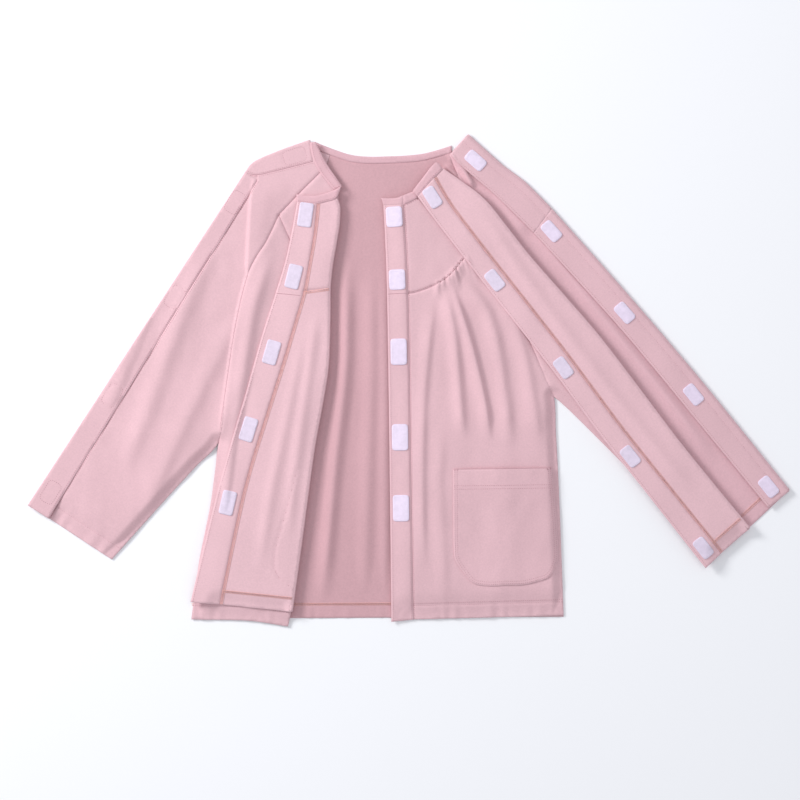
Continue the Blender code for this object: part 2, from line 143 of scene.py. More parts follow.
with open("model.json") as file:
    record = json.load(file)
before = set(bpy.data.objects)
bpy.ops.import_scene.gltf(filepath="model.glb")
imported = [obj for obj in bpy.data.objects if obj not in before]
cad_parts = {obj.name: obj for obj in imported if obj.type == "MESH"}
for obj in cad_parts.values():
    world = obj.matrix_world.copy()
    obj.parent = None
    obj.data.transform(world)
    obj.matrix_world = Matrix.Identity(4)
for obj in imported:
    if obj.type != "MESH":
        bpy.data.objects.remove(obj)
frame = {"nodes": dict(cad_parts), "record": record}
CAD_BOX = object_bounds()
NODES = frame["nodes"]
BODY_OF = {n: b for b, ns in frame["record"]["behaviour"]["bodies"].items() for n in ns}


# ---------------------------------------------------------------- outlines


def cad_outline(node):
    """The ordered outline of a flat CAD node, seen from above, as an array of points."""
    mesh = NODES[node].data
    points = np.array([v.co for v in mesh.vertices])
    keys = [tuple(np.round(p * KEYS_PER_METRE).astype(int)) for p in points]
    edges = {}
    top = points[:, 2].max()
    for face in mesh.polygons:
        if face.normal.z < 0.9 or points[face.vertices[0]][2] < top - 0.1 * MM:
            continue
        corners = [keys[i] for i in face.vertices]
        for a, b in zip(corners, corners[1:] + corners[:1]):
            if (b, a) in edges:
                del edges[(b, a)]
            else:
                edges[(a, b)] = True
    following = {a: b for a, b in edges}
    start = next(iter(following))
    loop = [start]
    while following[loop[-1]] != start:
        loop.append(following[loop[-1]])
    return np.array([(x, y) for x, y, _ in loop]) / KEYS_PER_METRE


def turns_of(loop):
    """How sharply an outline turns at each of its points."""
    ways = np.roll(loop, -1, axis=0) - loop
    angles = np.arctan2(ways[:, 1], ways[:, 0])
    change = angles - np.roll(angles, 1)
    return np.abs((change + math.pi) % (2 * math.pi) - math.pi)


def spline(points, spacing):
    """Points at this spacing on a smooth curve through the given ones, the last left out."""
    steps = np.diff(points, axis=0)
    sizes = np.maximum(np.linalg.norm(steps, axis=1), 1e-9)
    ways = steps / sizes[:, None]
    turned = np.vstack([ways[:1], ways[:-1] + ways[1:], ways[-1:]])
    turned /= np.maximum(np.linalg.norm(turned, axis=1), 1e-9)[:, None]
    reach = np.concatenate([sizes[:1], np.minimum(sizes[:-1], sizes[1:]), sizes[-1:]])
    tangents = turned * reach[:, None]
    t = (np.arange(SPLINE_STEPS) / SPLINE_STEPS)[:, None]
    curve = [
        (2 * t**3 - 3 * t**2 + 1) * points[i]
        + (t**3 - 2 * t**2 + t) * tangents[i]
        + (3 * t**2 - 2 * t**3) * points[i + 1]
        + (t**3 - t**2) * tangents[i + 1]
        for i in range(len(steps))
    ]
    curve = np.vstack([*curve, points[-1:]])
    count = max(len(steps), round(length_of(curve) / spacing))
    return at_share(curve, np.arange(count) / count)


def rounded(loop, spacing):
    """The outline resampled, with smooth curves between its true corners."""
    corners = np.flatnonzero(turns_of(loop) > CORNER_TURN)
    if len(corners) < 2:
        corners = np.array([0, len(loop) // 2])
    parts = []
    for a, b in zip(corners, np.roll(corners, -1)):
        stretch = np.arange(a, b + 1 if b > a else b + len(loop) + 1) % len(loop)
        parts.append(spline(loop[stretch], spacing))
    return np.vstack(parts)


def grown(loop, distance):
    """An anticlockwise outline moved outwards by a distance."""
    before = loop - np.roll(loop, 1, axis=0)
    after = np.roll(loop, -1, axis=0) - loop
    normals = []
    for way in (before, after):
        way = way / np.maximum(np.linalg.norm(way, axis=1), 1e-9)[:, None]
        normals.append(np.column_stack([way[:, 1], -way[:, 0]]))
    middle = normals[0] + normals[1]
    middle /= np.maximum(np.linalg.norm(middle, axis=1), 1e-9)[:, None]
    reach = distance / np.maximum((middle * normals[0]).sum(1), 0.5)
    return loop + middle * reach[:, None]


def closed(loop):
    return np.vstack([loop, loop[:1]])


def at(node, u, v):
    """The place at these shares of the width and length of a node's box, seen from above."""
    low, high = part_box(node)
    return np.array([low.x + u * (high.x - low.x), low.y + v * (high.y - low.y)])


def length_of(line):
    return float(np.linalg.norm(np.diff(line, axis=0), axis=1).sum())


def at_share(line, share):
    """The points at these shares of a line's length."""
    walked = np.concatenate([[0], np.cumsum(np.linalg.norm(np.diff(line, axis=0), axis=1))])
    wanted = np.asarray(share) * walked[-1]
    return np.stack([np.interp(wanted, walked, line[:, i]) for i in range(line.shape[1])], axis=-1)


def between(line_a, line_b, share, across):
    """The place at a share along two lines and a share of the way from the first to the second."""
    return at_share(line_a, share) * (1 - across) + at_share(line_b, share) * across


def part_of(line, start, end, count=24):
    return at_share(line, np.linspace(start, end, count))


def beside(line, distance):
    """A line moved to its left by a distance."""
    ways = np.gradient(line, axis=0)
    ways /= np.linalg.norm(ways, axis=1)[:, None]
    return line + np.column_stack([-ways[:, 1], ways[:, 0]]) * distance


def smoothstep(t):
    t = np.clip(t, 0, 1)
    return t * t * (3 - 2 * t)


def nearest(points, line):
    """Each point's signed distance from a line (left is positive), and how far along it that is."""
    best = np.full(len(points), 1e9)
    walked = np.zeros(len(points))
    side = np.ones(len(points))
    start = 0.0
    for a, b in zip(line, line[1:]):
        way = b - a
        size = float(np.linalg.norm(way))
        if size < 1e-9:
            continue
        way = way / size
        offset = points - a
        s = np.clip(offset @ way, 0, size)
        gap = np.linalg.norm(offset - s[:, None] * way, axis=1)
        closer = gap < best
        best = np.where(closer, gap, best)
        walked = np.where(closer, start + s, walked)
        left = way[0] * offset[:, 1] - way[1] * offset[:, 0]
        side = np.where(closer, np.sign(left), side)
        start += size
    return best * side, walked, start


# ---------------------------------------------------------------- height features


def local(line, reach, profile):
    """A feature near a line: profile(distance, place along, length) gives its height."""
    line = at_share(line, np.linspace(0, 1, max(2, round(length_of(line) / LINE_STEP))))
    low, high = line.min(0) - reach, line.max(0) + reach

    def lift(points):
        total = np.zeros(len(points))
        near = ((points > low) & (points < high)).all(1)
        if near.any():
            total[near] = profile(*nearest(points[near], line))
        return total

    return lift


def ridge(line, height, width, far_width=None, ends=0.2):
    """A soft fold along a line, as wide as this on its left and on its right."""
    far_width = far_width or width

    def profile(d, s, total):
        spread = np.where(d > 0, width, far_width)
        taper = smoothstep(np.minimum(s, total - s) / (ends * total))
        return height * np.exp(-((d / spread) ** 2)) * taper

    return local(line, 3 * max(width, far_width), profile)


def tuck(line, height, step, fade):
    """A fold that lies over on itself: a step on its right, and a slow fall on its left."""

    def profile(d, s, total):
        lifted = np.where(d > 0, np.exp(-((d / fade) ** 2)), np.exp(-((d / step) ** 2)))
        return height * lifted * smoothstep(np.minimum(s, total - s) / (0.12 * total))

    return local(line, 2.5 * fade, profile)


def groove(line, depth, width):
    """The dip that a seam or a row of stitches pulls into the cloth."""
    return local(line, 4 * width, lambda d, s, total: -depth * np.exp(-((d / width) ** 2)))


def edge_drop(lines, drop, reach):
    """The cloth comes down towards its edges."""

    def lift(points):
        closest = np.full(len(points), reach)
        for line in lines:
            near = local(line, reach, lambda d, s, total: reach - np.minimum(np.abs(d), reach))
            closest = np.minimum(closest, reach - near(points))
        return -drop * (1 - smoothstep(closest / reach))

    return lift


def puckers(line, height, pitch, reach, seed):
    """Small ripples across a line of stitches, uneven along it."""

    def profile(d, s, total):
        phase = 2 * math.pi * s / pitch + 1.7 * np.sin(2 * math.pi * s / (pitch * 5.3) + seed)
        strength = 0.55 + 0.45 * np.sin(2 * math.pi * s / (pitch * 3.1) + 2.1 * seed)
        return height * np.sin(phase) * strength * np.exp(-((d / reach) ** 2))

    return local(line, 2.5 * reach, profile)


def hem(line, seed):
    """A turned hem: thicker cloth up to its stitches, which pull the cloth into ripples."""
    before, width = HEM_STEP

    def profile(d, s, total):
        return HEM_RISE * (1 - smoothstep((np.abs(d) - HEM_DEPTH + before) / width))

    ripples = puckers(line, PUCKER_HEIGHT, PUCKER_PITCH, HEM_DEPTH, seed)
    return [local(line, 2 * HEM_DEPTH, profile), ripples]


def fan(seam, way, count, reach, height, width, seed, start, end, spread):
    """Gathers: short folds that start at a seam, lean apart and die out down the cloth."""
    draw = np.random.default_rng(seed)
    folds = []
    for i in range(count):
        share = start + (end - start) * (i + draw.uniform(-0.3, 0.3)) / max(count - 1, 1)
        root = at_share(seam, float(np.clip(share, 0, 1)))
        run = reach * draw.uniform(0.55, 1.2)
        lean = spread * (share - 0.5) + draw.uniform(-0.05, 0.05)
        tip = root + np.array([way[0] + lean, way[1]]) * run
        bend = (root + tip) / 2 + np.array([draw.uniform(-GATHER_SWAY, GATHER_SWAY), 0])
        line = spline(np.array([root - np.array(way) * GATHER_START, bend, tip]), FOLD_STEP)
        folds.append(gather(line, height * draw.uniform(0.6, 1.2), width * draw.uniform(0.7, 1.2)))
    return folds


def gather(line, height, width, open_out=1.6):
    """A fold that is sharp where it starts, then widens and dies out."""

    def profile(d, s, total):
        share = s / total
        taper = (1 - smoothstep(share)) * smoothstep(share * 8 + 0.3)
        return height * np.exp(-((d / (width * (1 + open_out * share))) ** 2)) * taper

    return local(line, 3 * width * (1 + open_out), profile)


def undulation(height, size, seed=0, stretch=(1.0, 1.0), turn=0.0):
    """Gentle unevenness of cloth that has been worn, longer one way than the other."""
    c, s = math.cos(turn), math.sin(turn)

    def lift(points):
        x = (points[:, 0] * c + points[:, 1] * s) / (size * stretch[0])
        y = (-points[:, 0] * s + points[:, 1] * c) / (size * stretch[1])
        return height * np.array([noise.noise(Vector((a, b, seed * 7.3))) for a, b in zip(x, y)])

    return lift


class Layer:
    """The height of one layer of cloth, as a sum of features, resting on the layer below it."""

    def __init__(self, base, features, below=None, thickness=CLOTH, flat_along=()):
        self.base = base
        self.features = features
        self.below = below
        self.thickness = thickness
        self.flat_along = flat_along

    def height(self, points):
        """Where the underside of the cloth is."""
        total = sum((feature(points) for feature in self.features), np.zeros(len(points)))
        for line in self.flat_along:
            nearby = local(line, FLAT_REACH, lambda d, s, length: FLAT_REACH - np.abs(d))(points)
            total = total * smoothstep(1 - nearby / FLAT_REACH)
        total += self.base
        lowest = self.below.top(points) + LAYER_GAP if self.below else np.full(len(points), LAYER_GAP)
        return np.maximum(total, lowest)

    def top(self, points, thickness=None):
        return self.height(points) + (thickness or self.thickness)


# ---------------------------------------------------------------- meshes


def inside(points, loop):
    """Which points lie inside an outline."""
    crossed = np.zeros(len(points), bool)
    for a, b in zip(loop, np.roll(loop, -1, axis=0)):
        spans = (a[1] > points[:, 1]) != (b[1] > points[:, 1])
        if not spans.any():
            continue
        x = a[0] + (points[:, 1] - a[1]) * (b[0] - a[0]) / (b[1] - a[1] + 1e-18)
        crossed ^= spans & (points[:, 0] < x)
    return crossed


def filled(loop, spacing):
    """Points and triangles that fill an outline evenly. The outline's own points come first."""
    low, high = loop.min(0), loop.max(0)
    rows = np.arange(low[1], high[1], spacing * math.sqrt(3) / 2)
    grid = []
    for i, y in enumerate(rows):
        x = np.arange(low[0] + (i % 2) * spacing / 2, high[0], spacing)
        grid.append(np.column_stack([x, np.full(len(x), y)]))
    grid = np.vstack(grid)
    grid = grid[inside(grid, grown(loop, -0.55 * spacing))]
    points = np.vstack([loop, grid])
    n = len(loop)
    rim = [(i, (i + 1) % n) for i in range(n)]
    made = geometry.delaunay_2d_cdt([Vector(p) for p in points], rim, [], 0, 1e-7, False)
    flat = np.array([tuple(v) for v in made[0]])
    triangles = np.array([tuple(f) for f in made[2]])
    a, b, c = (flat[triangles[:, i]] for i in range(3))
    twice = np.abs((b - a)[:, 0] * (c - a)[:, 1] - (b - a)[:, 1] * (c - a)[:, 0])
    return flat, triangles[inside((a + b + c) / 3, loop) & (twice > SLIVER)]


def add_object(name, points, faces, materials, indices=None, smooth=True):
    mesh = bpy.data.meshes.new(name)
    mesh.from_pydata([tuple(p) for p in points], [], [tuple(int(i) for i in f) for f in faces])
    for item in materials:
        mesh.materials.append(item)
    if indices is not None:
        mesh.polygons.foreach_set("material_index", np.asarray(indices, np.int32))
    if smooth:
        mesh.shade_smooth()
    mesh.update()
    piece = bpy.data.objects.new(name, mesh)
    bpy.context.scene.collection.objects.link(piece)
    return piece


def sheet_mesh(name, loop, height, thickness, materials, spacing=GRID):
    """A closed sheet with rounded edges over an outline. height gives its underside."""
    flat, triangles = filled(loop, spacing)
    rim = len(loop)
    under = np.column_stack([flat, height(flat)])
    over = under + np.array([0, 0, thickness])
    middle_loop = grown(flat[:rim], thickness * 0.35)
    middle = np.column_stack([middle_loop, under[:rim, 2] + thickness / 2])
    points = np.vstack([over, under, middle])
    n = len(flat)
    first, second = np.arange(rim), (np.arange(rim) + 1) % rim
    mid = 2 * n
    sides_over = np.column_stack([first, mid + first, mid + second, second])
    sides_under = np.column_stack([mid + first, n + first, n + second, mid + second])
    faces = [tuple(f) for f in triangles]
    faces += [tuple(f) for f in triangles[:, ::-1] + n]
    faces += [tuple(f) for f in sides_over] + [tuple(f) for f in sides_under]
    indices = [0] * len(triangles) + [1] * len(triangles) + [0] * rim + [1] * rim
    return add_object(name, points, faces, materials, indices)


def flat_size(loop):
    """The width, length and area of the cloth inside an outline, straightened if it is a strip."""
    best = None
    for turn in np.linspace(0, math.pi / 2, 46):
        c, s = math.cos(turn), math.sin(turn)
        turned = loop @ np.array([[c, -s], [s, c]])
        sides = turned.max(0) - turned.min(0)
        if best is None or sides.prod() < best.prod():
            best = sides
    x, y = loop[:, 0], loop[:, 1]
    area = abs(np.dot(x, np.roll(y, -1)) - np.dot(y, np.roll(x, -1))) / 2
    if area < CURVED_SHARE * best.prod():
        half_round = length_of(closed(loop)) / 2
        width = max((half_round - math.sqrt(half_round**2 - 4 * area)) / 2, NARROWEST_SHEET)
        return width, half_round - width, width * (half_round - width)
    sides = np.maximum(best, NARROWEST_SHEET)
    return float(sides.min()), float(sides.max()), float(area)


def declare_sheet(loop, rests_on):
    width, length, area = flat_size(loop)
    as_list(rests_on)


def tube(line, radius, sides=5):
    """Points and faces of a tube along a line of points in space, closed at its ends."""
    ways = np.gradient(line, axis=0)
    ways /= np.maximum(np.linalg.norm(ways, axis=1), 1e-12)[:, None]
    up = np.tile([0.0, 0.0, 1.0], (len(line), 1))
    across = np.cross(ways, up)
    across /= np.maximum(np.linalg.norm(across, axis=1), 1e-9)[:, None]
    over = np.cross(across, ways)
    turn = 2 * math.pi * np.arange(sides) / sides
    rings = (
        line[:, None, :]
        + radius * np.cos(turn)[None, :, None] * across[:, None, :]
        + radius * np.sin(turn)[None, :, None] * over[:, None, :]
    )
    n = len(line)
    faces = []
    for i in range(n - 1):
        for j in range(sides):
            k = (j + 1) % sides
            faces.append((i * sides + j, (i + 1) * sides + j, (i + 1) * sides + k, i * sides + k))
    faces.append(tuple(range(sides)))
    faces.append(tuple((n - 1) * sides + j for j in reversed(range(sides))))
    return rings.reshape(-1, 3), faces


def gathered(parts):
    """Several point and face lists as one."""
    points, faces, start = [], [], 0
    for some_points, some_faces in parts:
        points.append(some_points)
        faces += [tuple(i + start for i in f) for f in some_faces]
        start += len(some_points)
    return np.vstack(points), faces


def stitch_parts(line, surface, radius=STITCH_RADIUS):
    """One short thread for each stitch along a line, lying on a surface."""
    total = length_of(line)
    count = max(2, int(total / STITCH_PITCH))
    middles = (np.arange(count) + 0.5) / count
    reach = STITCH_LENGTH / 2 / total
    starts = at_share(line, middles - reach)
    ends = at_share(line, middles + reach)
    centres = (starts + ends) / 2
    sides = (ends - starts) / np.linalg.norm(ends - starts, axis=1)[:, None] * radius
    sides = np.column_stack([-sides[:, 1], sides[:, 0]])
    z = surface(centres)
    rise = radius * 1.1
    corners = [
        np.column_stack([starts, z - radius / 3]),
        np.column_stack([centres + sides, z + rise - radius]),
        np.column_stack([centres, z + rise]),
        np.column_stack([centres - sides, z + rise - radius]),
        np.column_stack([ends, z - radius / 3]),
        np.column_stack([centres, z + rise - 2 * radius]),
    ]
    faces = [(0, 2, 1), (0, 3, 2), (4, 1, 2), (4, 2, 3), (0, 1, 5), (0, 5, 3), (4, 5, 1), (4, 3, 5)]
    return [(points, faces) for points in np.stack(corners, axis=1)]


def overlock_parts(line, surface):
    """The looped threads that bind a cut edge inside the gown."""
    count = max(2, int(length_of(line) / OVERLOCK_PITCH))
    shares = np.linspace(0, 1, 2 * count)
    middle = at_share(line, shares)
    ways = np.gradient(middle, axis=0)
    ways /= np.maximum(np.linalg.norm(ways, axis=1), 1e-9)[:, None]
    normal = np.column_stack([-ways[:, 1], ways[:, 0]])
    swing = np.where(np.arange(2 * count) % 2 == 0, 0.5, -0.5)
    zigzag = middle + normal * (swing * OVERLOCK_WIDTH)[:, None]
    lines = [(zigzag, OVERLOCK_LOOP_HEIGHT, OVERLOCK_LOOP_RADIUS)]
    for offset in (-0.5, 0.5):
        rail = middle + normal * (offset * OVERLOCK_WIDTH)
        lines.append((rail, OVERLOCK_RAIL_HEIGHT, OVERLOCK_RAIL_RADIUS))
    return [
        tube(np.column_stack([line, surface(line) + height]), radius, OVERLOCK_SIDES)
        for line, height, radius in lines
    ]


def thread_piece(name, parts, material, body):
    piece = add_object(name, *gathered(parts), [material])
    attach(piece, body)
    return piece


# ---------------------------------------------------------------- materials


def linear(red, green, blue):
    """A colour given as screen values from 0 to 255, as linear values for a shader."""
    values = []
    for value in (red, green, blue):
        share = value / 255
        values.append(share / 12.92 if share <= 0.04045 else ((share + 0.055) / 1.055) ** 2.4)
    return (*values, 1.0)


def new_material(name, roughness, sheen=0.0, specular=0.3):
    made = bpy.data.materials.new(name)
    made.use_nodes = True
    shader = made.node_tree.nodes["Principled BSDF"]
    shader.inputs["Roughness"].default_value = roughness
    shader.inputs["Sheen Weight"].default_value = sheen
    shader.inputs["Sheen Roughness"].default_value = 0.4
    shader.inputs["Specular IOR Level"].default_value = specular
    return made, made.node_tree, shader


def node_of(tree, kind, **settings):
    made = tree.nodes.new(kind)
    for name, value in settings.items():
        if hasattr(made, name):
            setattr(made, name, value)
        else:
            made.inputs[name.replace("_", " ")].default_value = value
    return made


def cloth_coordinates(tree, grain):
    """Places on the cloth, turned so that Y runs along the wales of the knit."""
    place = node_of(tree, "ShaderNodeTexCoord")
    turned = node_of(tree, "ShaderNodeMapping", Rotation=(0.0, 0.0, grain))
    tree.links.new(place.outputs["Object"], turned.inputs["Vector"])
    return turned.outputs["Vector"]


def texture(tree, place, kind, output="Fac", **settings):
    made = node_of(tree, f"ShaderNodeTex{kind}", **settings)
    tree.links.new(place, made.inputs["Vector"])
    return made.outputs[output]


def weighted(tree, source, weight, base=None):
    """A value times its weight, added to a base if there is one."""
    made = node_of(tree, "ShaderNodeMath", operation="MULTIPLY" if base is None else "MULTIPLY_ADD")
    made.inputs[1].default_value = weight
    tree.links.new(source, made.inputs[0])
    if base is not None:
        tree.links.new(base, made.inputs[2])
    return made.outputs[0]


def tones(tree, shader, source, colour, darkest, lightest, start=0.0, end=1.0):
    """The colour varies with a texture, between two shares of its strength."""
    ramp = node_of(tree, "ShaderNodeValToRGB")
    base = linear(*colour)[:3]
    for element, place, share in zip(ramp.color_ramp.elements, (start, end), (darkest, lightest)):
        element.position = place
        element.color = (*(min(1.0, c * share) for c in base), 1.0)
    tree.links.new(source, ramp.inputs["Fac"])
    tree.links.new(ramp.outputs["Color"], shader.inputs["Base Color"])


def relief(tree, shader, height, strength, distance):
    bump = node_of(tree, "ShaderNodeBump", Strength=strength, Distance=distance)
    tree.links.new(height, bump.inputs["Height"])
    tree.links.new(bump.outputs["Normal"], shader.inputs["Normal"])


def band_scale(width):
    """The wave texture's scale that gives bands of this width."""
    return 2 * math.pi / (20 * width)


def knit(name, colour, grain=0.0, wale=0.9 * MM):
    """Jersey knit: columns of small loops, a faint heather and the slow unevenness of the dye."""
    made, tree, shader = new_material(name, roughness=0.92, sheen=0.22, specular=0.18)
    place = cloth_coordinates(tree, grain)
    dye = texture(tree, place, "Noise", Scale=9.0, Detail=3.0)
    heather = texture(tree, place, "Noise", Scale=420.0, Detail=2.0)
    mixed = weighted(tree, heather, 0.55, weighted(tree, dye, 0.45))
    tones(tree, shader, mixed, colour, 0.90, 1.05, 0.3, 0.7)
    wales = texture(
        tree, place, "Wave", bands_direction="X", Scale=band_scale(wale), Distortion=1.2, Detail_Scale=4.0
    )
    loops = texture(
        tree, place, "Wave", bands_direction="Y", Scale=band_scale(wale * 0.75), Distortion=1.5
    )
    fuzz = texture(tree, place, "Noise", Scale=900.0, Detail=2.0)
    relief(tree, shader, weighted(tree, fuzz, 0.5, weighted(tree, loops, 0.5, wales)), 0.35, 0.25 * MM)
    return made


def tape(name, colour, pile, gloss):
    """Hook or loop tape: a dense pile of nylon."""
    made, tree, shader = new_material(name, roughness=1.0 - gloss, sheen=0.3, specular=0.4)
    place = cloth_coordinates(tree, 0.0)
    cells = texture(tree, place, "Voronoi", "Distance", feature="F1", Scale=1 / pile)
    fuzz = texture(tree, place, "Noise", Scale=160.0, Detail=4.0)
    tones(tree, shader, fuzz, colour, 0.93, 1.03, 0.30, 0.68)
    relief(tree, shader, cells, 0.7, 0.5 * MM)
    return made


def thread(name, colour):
    """Sewing thread: two plies, so a fine slanting ripple."""
    made, tree, shader = new_material(name, roughness=0.6, sheen=0.2, specular=0.4)
    place = cloth_coordinates(tree, math.radians(40))
    plies = texture(tree, place, "Wave", bands_direction="X", Scale=600.0)
    tones(tree, shader, plies, colour, 0.85, 1.0)
    return made


BODY_GRAIN = 0.0
RIGHT_SLEEVE_GRAIN = math.radians(33)
LEFT_SLEEVE_GRAIN = math.radians(-40)
OUTER = (222, 183, 190)
INNER = (227, 188, 195)
# SHADED is painted shade: the back's inside, made darker than INNER for the shade that falls on it
# between the layers.
SHADED = (208, 165, 172)
# SLEEVE_SHADED is painted shade: the left sleeve back's inside, a little darker than INNER for the shade
# between the layers.
SLEEVE_SHADED = (222, 180, 188)
BAND = (220, 178, 186)

MATERIALS = {
    "body_outer": knit("knit_body_outer", OUTER, BODY_GRAIN),
    "body_inner": knit("knit_body_inner", INNER, BODY_GRAIN),
    # Painted shade: the back's inside takes the darker SHADED colour.
    "back_inside_painted_shade": knit("knit_back_inside_painted_shade", SHADED, BODY_GRAIN),
    # Painted shade: the left sleeve back's inside takes SLEEVE_SHADED.
    "left_back_inside_painted_shade": knit("knit_left_back_inside_painted_shade", SLEEVE_SHADED, LEFT_SLEEVE_GRAIN),
    "right_outer": knit("knit_right_outer", OUTER, RIGHT_SLEEVE_GRAIN),
    "right_inner": knit("knit_right_inner", INNER, RIGHT_SLEEVE_GRAIN),
    "left_outer": knit("knit_left_outer", OUTER, LEFT_SLEEVE_GRAIN),
    "left_inner": knit("knit_left_inner", INNER, LEFT_SLEEVE_GRAIN),
    "band": knit("knit_band", BAND, BODY_GRAIN, wale=0.7 * MM),
    "hook": tape("hook_tape", (226, 212, 231), 0.9 * MM, 0.35),
    "loop": tape("loop_tape", (236, 221, 242), 0.6 * MM, 0.1),
    "patch_thread": thread("patch_thread", (244, 230, 247)),
    "pink_thread": thread("pink_thread", (196, 142, 153)),
    "seam_thread": thread("seam_thread", (176, 122, 134)),
    "overlock_thread": thread("overlock_thread", (248, 194, 187)),
}


# ---------------------------------------------------------------- lines of the pattern


def stretches(node):
    """An outline's stretches between its true corners, anticlockwise."""
    loop = cad_outline(node)
    corners = np.flatnonzero(turns_of(loop) > CORNER_TURN)
    found = []
    for a, b in zip(corners, np.roll(corners, -1)):
        stretch = loop[np.arange(a, b + 1 if b > a else b + len(loop) + 1) % len(loop)]
        found.append(np.vstack([spline(stretch, GRID), stretch[-1:]]))
    return found


def side(node, u, v):
    """The stretch of a node's outline that passes nearest to a place in its box."""
    place = at(node, u, v)[None, :]
    return min(stretches(node), key=lambda line: abs(nearest(place, line)[0][0]))


def downwards(line):
    """The line from its end nearer the neck."""
    return line if line[0][1] > line[-1][1] else line[::-1]


RIGHT_FOLD = downwards(
    np.vstack(
        [
            downwards(side("right_front_flap_yoke", 1.0, 0.6)),
            downwards(side("right_front_flap_panel", 0.85, 0.5)),
        ]
    )
)
RIGHT_FLAP_SEAM = downwards(side("right_front_placket", 0.75, 0.5))
RIGHT_FLAP_FREE = downwards(side("right_front_placket", 0.45, 0.55))
RIGHT_FLAP_HEM = side("right_front_flap_panel", 0.3, 0.0)
RIGHT_FLAP_YOKE = side("right_front_flap_panel", 0.9, 1.0)
RIGHT_HEM = side("right_front_panel", 0.3, 0.0)
RIGHT_ARM_SEAM = downwards(side("right_sleeve_top_placket", 0.6, 0.4))
RIGHT_ARM_EDGE = downwards(side("right_sleeve_top_placket", 0.4, 0.6))
RIGHT_SHOULDER_SEAM = downwards(side("right_shoulder_top_placket", 0.5, 0.1))
RIGHT_SHOULDER_EDGE = downwards(side("right_shoulder_top_placket", 0.5, 0.9))
RIGHT_CUFF = side("right_sleeve_front", 0.1, 0.03)
RIGHT_UNDERARM = downwards(side("right_sleeve_front", 0.6, 0.15))
LEFT_FREE = downwards(side("left_front_placket", 0.1, 0.5))
LEFT_SEAM = downwards(side("left_front_placket", 0.8, 0.5))
LEFT_HEM = side("left_front_panel", 0.5, 0.0)
LEFT_SIDE = downwards(side("left_front_panel", 1.0, 0.3))
LEFT_YOKE = side("left_front_yoke", 0.5, 0.0)
BACK_HEM = side("back_panel", 0.6, 0.0)
SLEEVE_FOLD = downwards(side("left_sleeve_front_flap", 0.6, 0.6))
SLEEVE_SEAM = downwards(side("left_sleeve_front_placket", 0.6, 0.5))
SLEEVE_FREE = downwards(side("left_sleeve_front_placket", 0.4, 0.4))
SLEEVE_UNDERARM = downwards(side("left_sleeve_front", 0.5, 0.2))
SLEEVE_CUFF = side("left_sleeve_front", 0.95, 0.05)
BACK_ARM_INNER = downwards(side("left_sleeve_back_placket", 0.4, 0.5))
BACK_ARM_OUTER = downwards(side("left_sleeve_back_placket", 0.6, 0.6))
BACK_SHOULDER_INNER = downwards(side("left_shoulder_back_placket", 0.3, 0.4))
BACK_SHOULDER_OUTER = downwards(side("left_shoulder_back_placket", 0.6, 0.6))
BACK_CUFF = side("left_sleeve_back", 0.95, 0.05)
FLAP_CUFF = side("left_sleeve_front_flap", 0.95, 0.03)
POCKET_MOUTH = side("left_pocket", 0.5, 1.0)


def run_beside(line, other, tolerance=2 * MM):
    """The stretch of a line that another line follows, and the rest of it after that."""
    close = np.flatnonzero(np.abs(nearest(line, other)[0]) < tolerance)
    return line[close[0] : close[-1] + 1], line[close[-1] :]


RIGHT_SLEEVE_INNER = RIGHT_UNDERARM
RIGHT_RAGLAN, RIGHT_SIDE = run_beside(
    downwards(side("right_front_panel", 0.1, 0.3)), RIGHT_SLEEVE_INNER
)
_, RIGHT_UNDERARM = run_beside(RIGHT_SLEEVE_INNER, RIGHT_RAGLAN)
LEFT_RAGLAN, LEFT_SIDE = run_beside(LEFT_SIDE, SLEEVE_UNDERARM)
_, LEFT_UNDERARM = run_beside(SLEEVE_UNDERARM, LEFT_RAGLAN)
LEFT_YOKE_RAGLAN = downwards(side("left_front_yoke", 0.6, 0.75))
RIGHT_YOKE_RAGLAN = downwards(side("right_front_yoke", 0.4, 0.8))
RIGHT_YOKE_SEAM = side("right_front_yoke", 0.3, 0.4)
LEFT_BAND_SEAM = side("left_front_neck_band", 0.5, 0.2)
BACK_BAND_SEAM = side("back_neck_band", 0.5, 0.1)
RIGHT_BAND_SEAM = downwards(side("right_sleeve_neck_band", 0.2, 0.5))
FLAP_BAND_SEAM = side("right_front_neck_band", 0.5, 0.1)
SLEEVE_BAND_SEAM = side("left_sleeve_neck_band", 0.6, 0.4)
POCKET_SHOWS = downwards(side("right_pocket_flap_half", 0.1, 0.4))
POCKET_LOOP = rounded(cad_outline("left_pocket"), GRID)


SLEEVE_PATCH_OUTLINES = [
    closed(rounded(grown(cad_outline(node), 1.2 * MM), 2 * MM))
    for node in ("right_shoulder_hook_patch_1", *(f"right_sleeve_hook_patch_{i}" for i in range(1, 5)))
]


# ---------------------------------------------------------------- layers of cloth

BACK_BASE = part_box("back_panel")[0].z
UNDER_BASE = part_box("right_sleeve_under_placket")[0].z
EDGE_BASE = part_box("left_sleeve_back_placket")[0].z
FRONT_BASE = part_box("left_front_panel")[0].z
FLAP_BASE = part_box("right_front_flap_panel")[0].z
SIDE_REACH = 17 * MM
HEM_REACH = 45 * MM
FREE_REACH = 26 * MM
FLAP_REACH = 30 * MM
FLAP_HEM_REACH = 25 * MM
FOLD_SCALE = 1.2


def grooves(*rows):
    """Grooves from rows of a line, and their depth and width in mm."""
    return [groove(line, depth * MM, width * MM) for line, depth, width in rows]


def path(node, *shares):
    """A smooth line through places given as shares of a node's box."""
    points = np.array([at(node, u, v) for u, v in shares])
    return np.vstack([spline(points, PATH_STEP), points[-1:]])


def folds(node, *rows):
    """Ridges in a panel. A row holds height, width on each side in mm, and shares of its box."""
    return [
        ridge(path(node, *shares), FOLD_SCALE * height * MM, width * MM, far * MM)
        for height, width, far, shares in rows
    ]


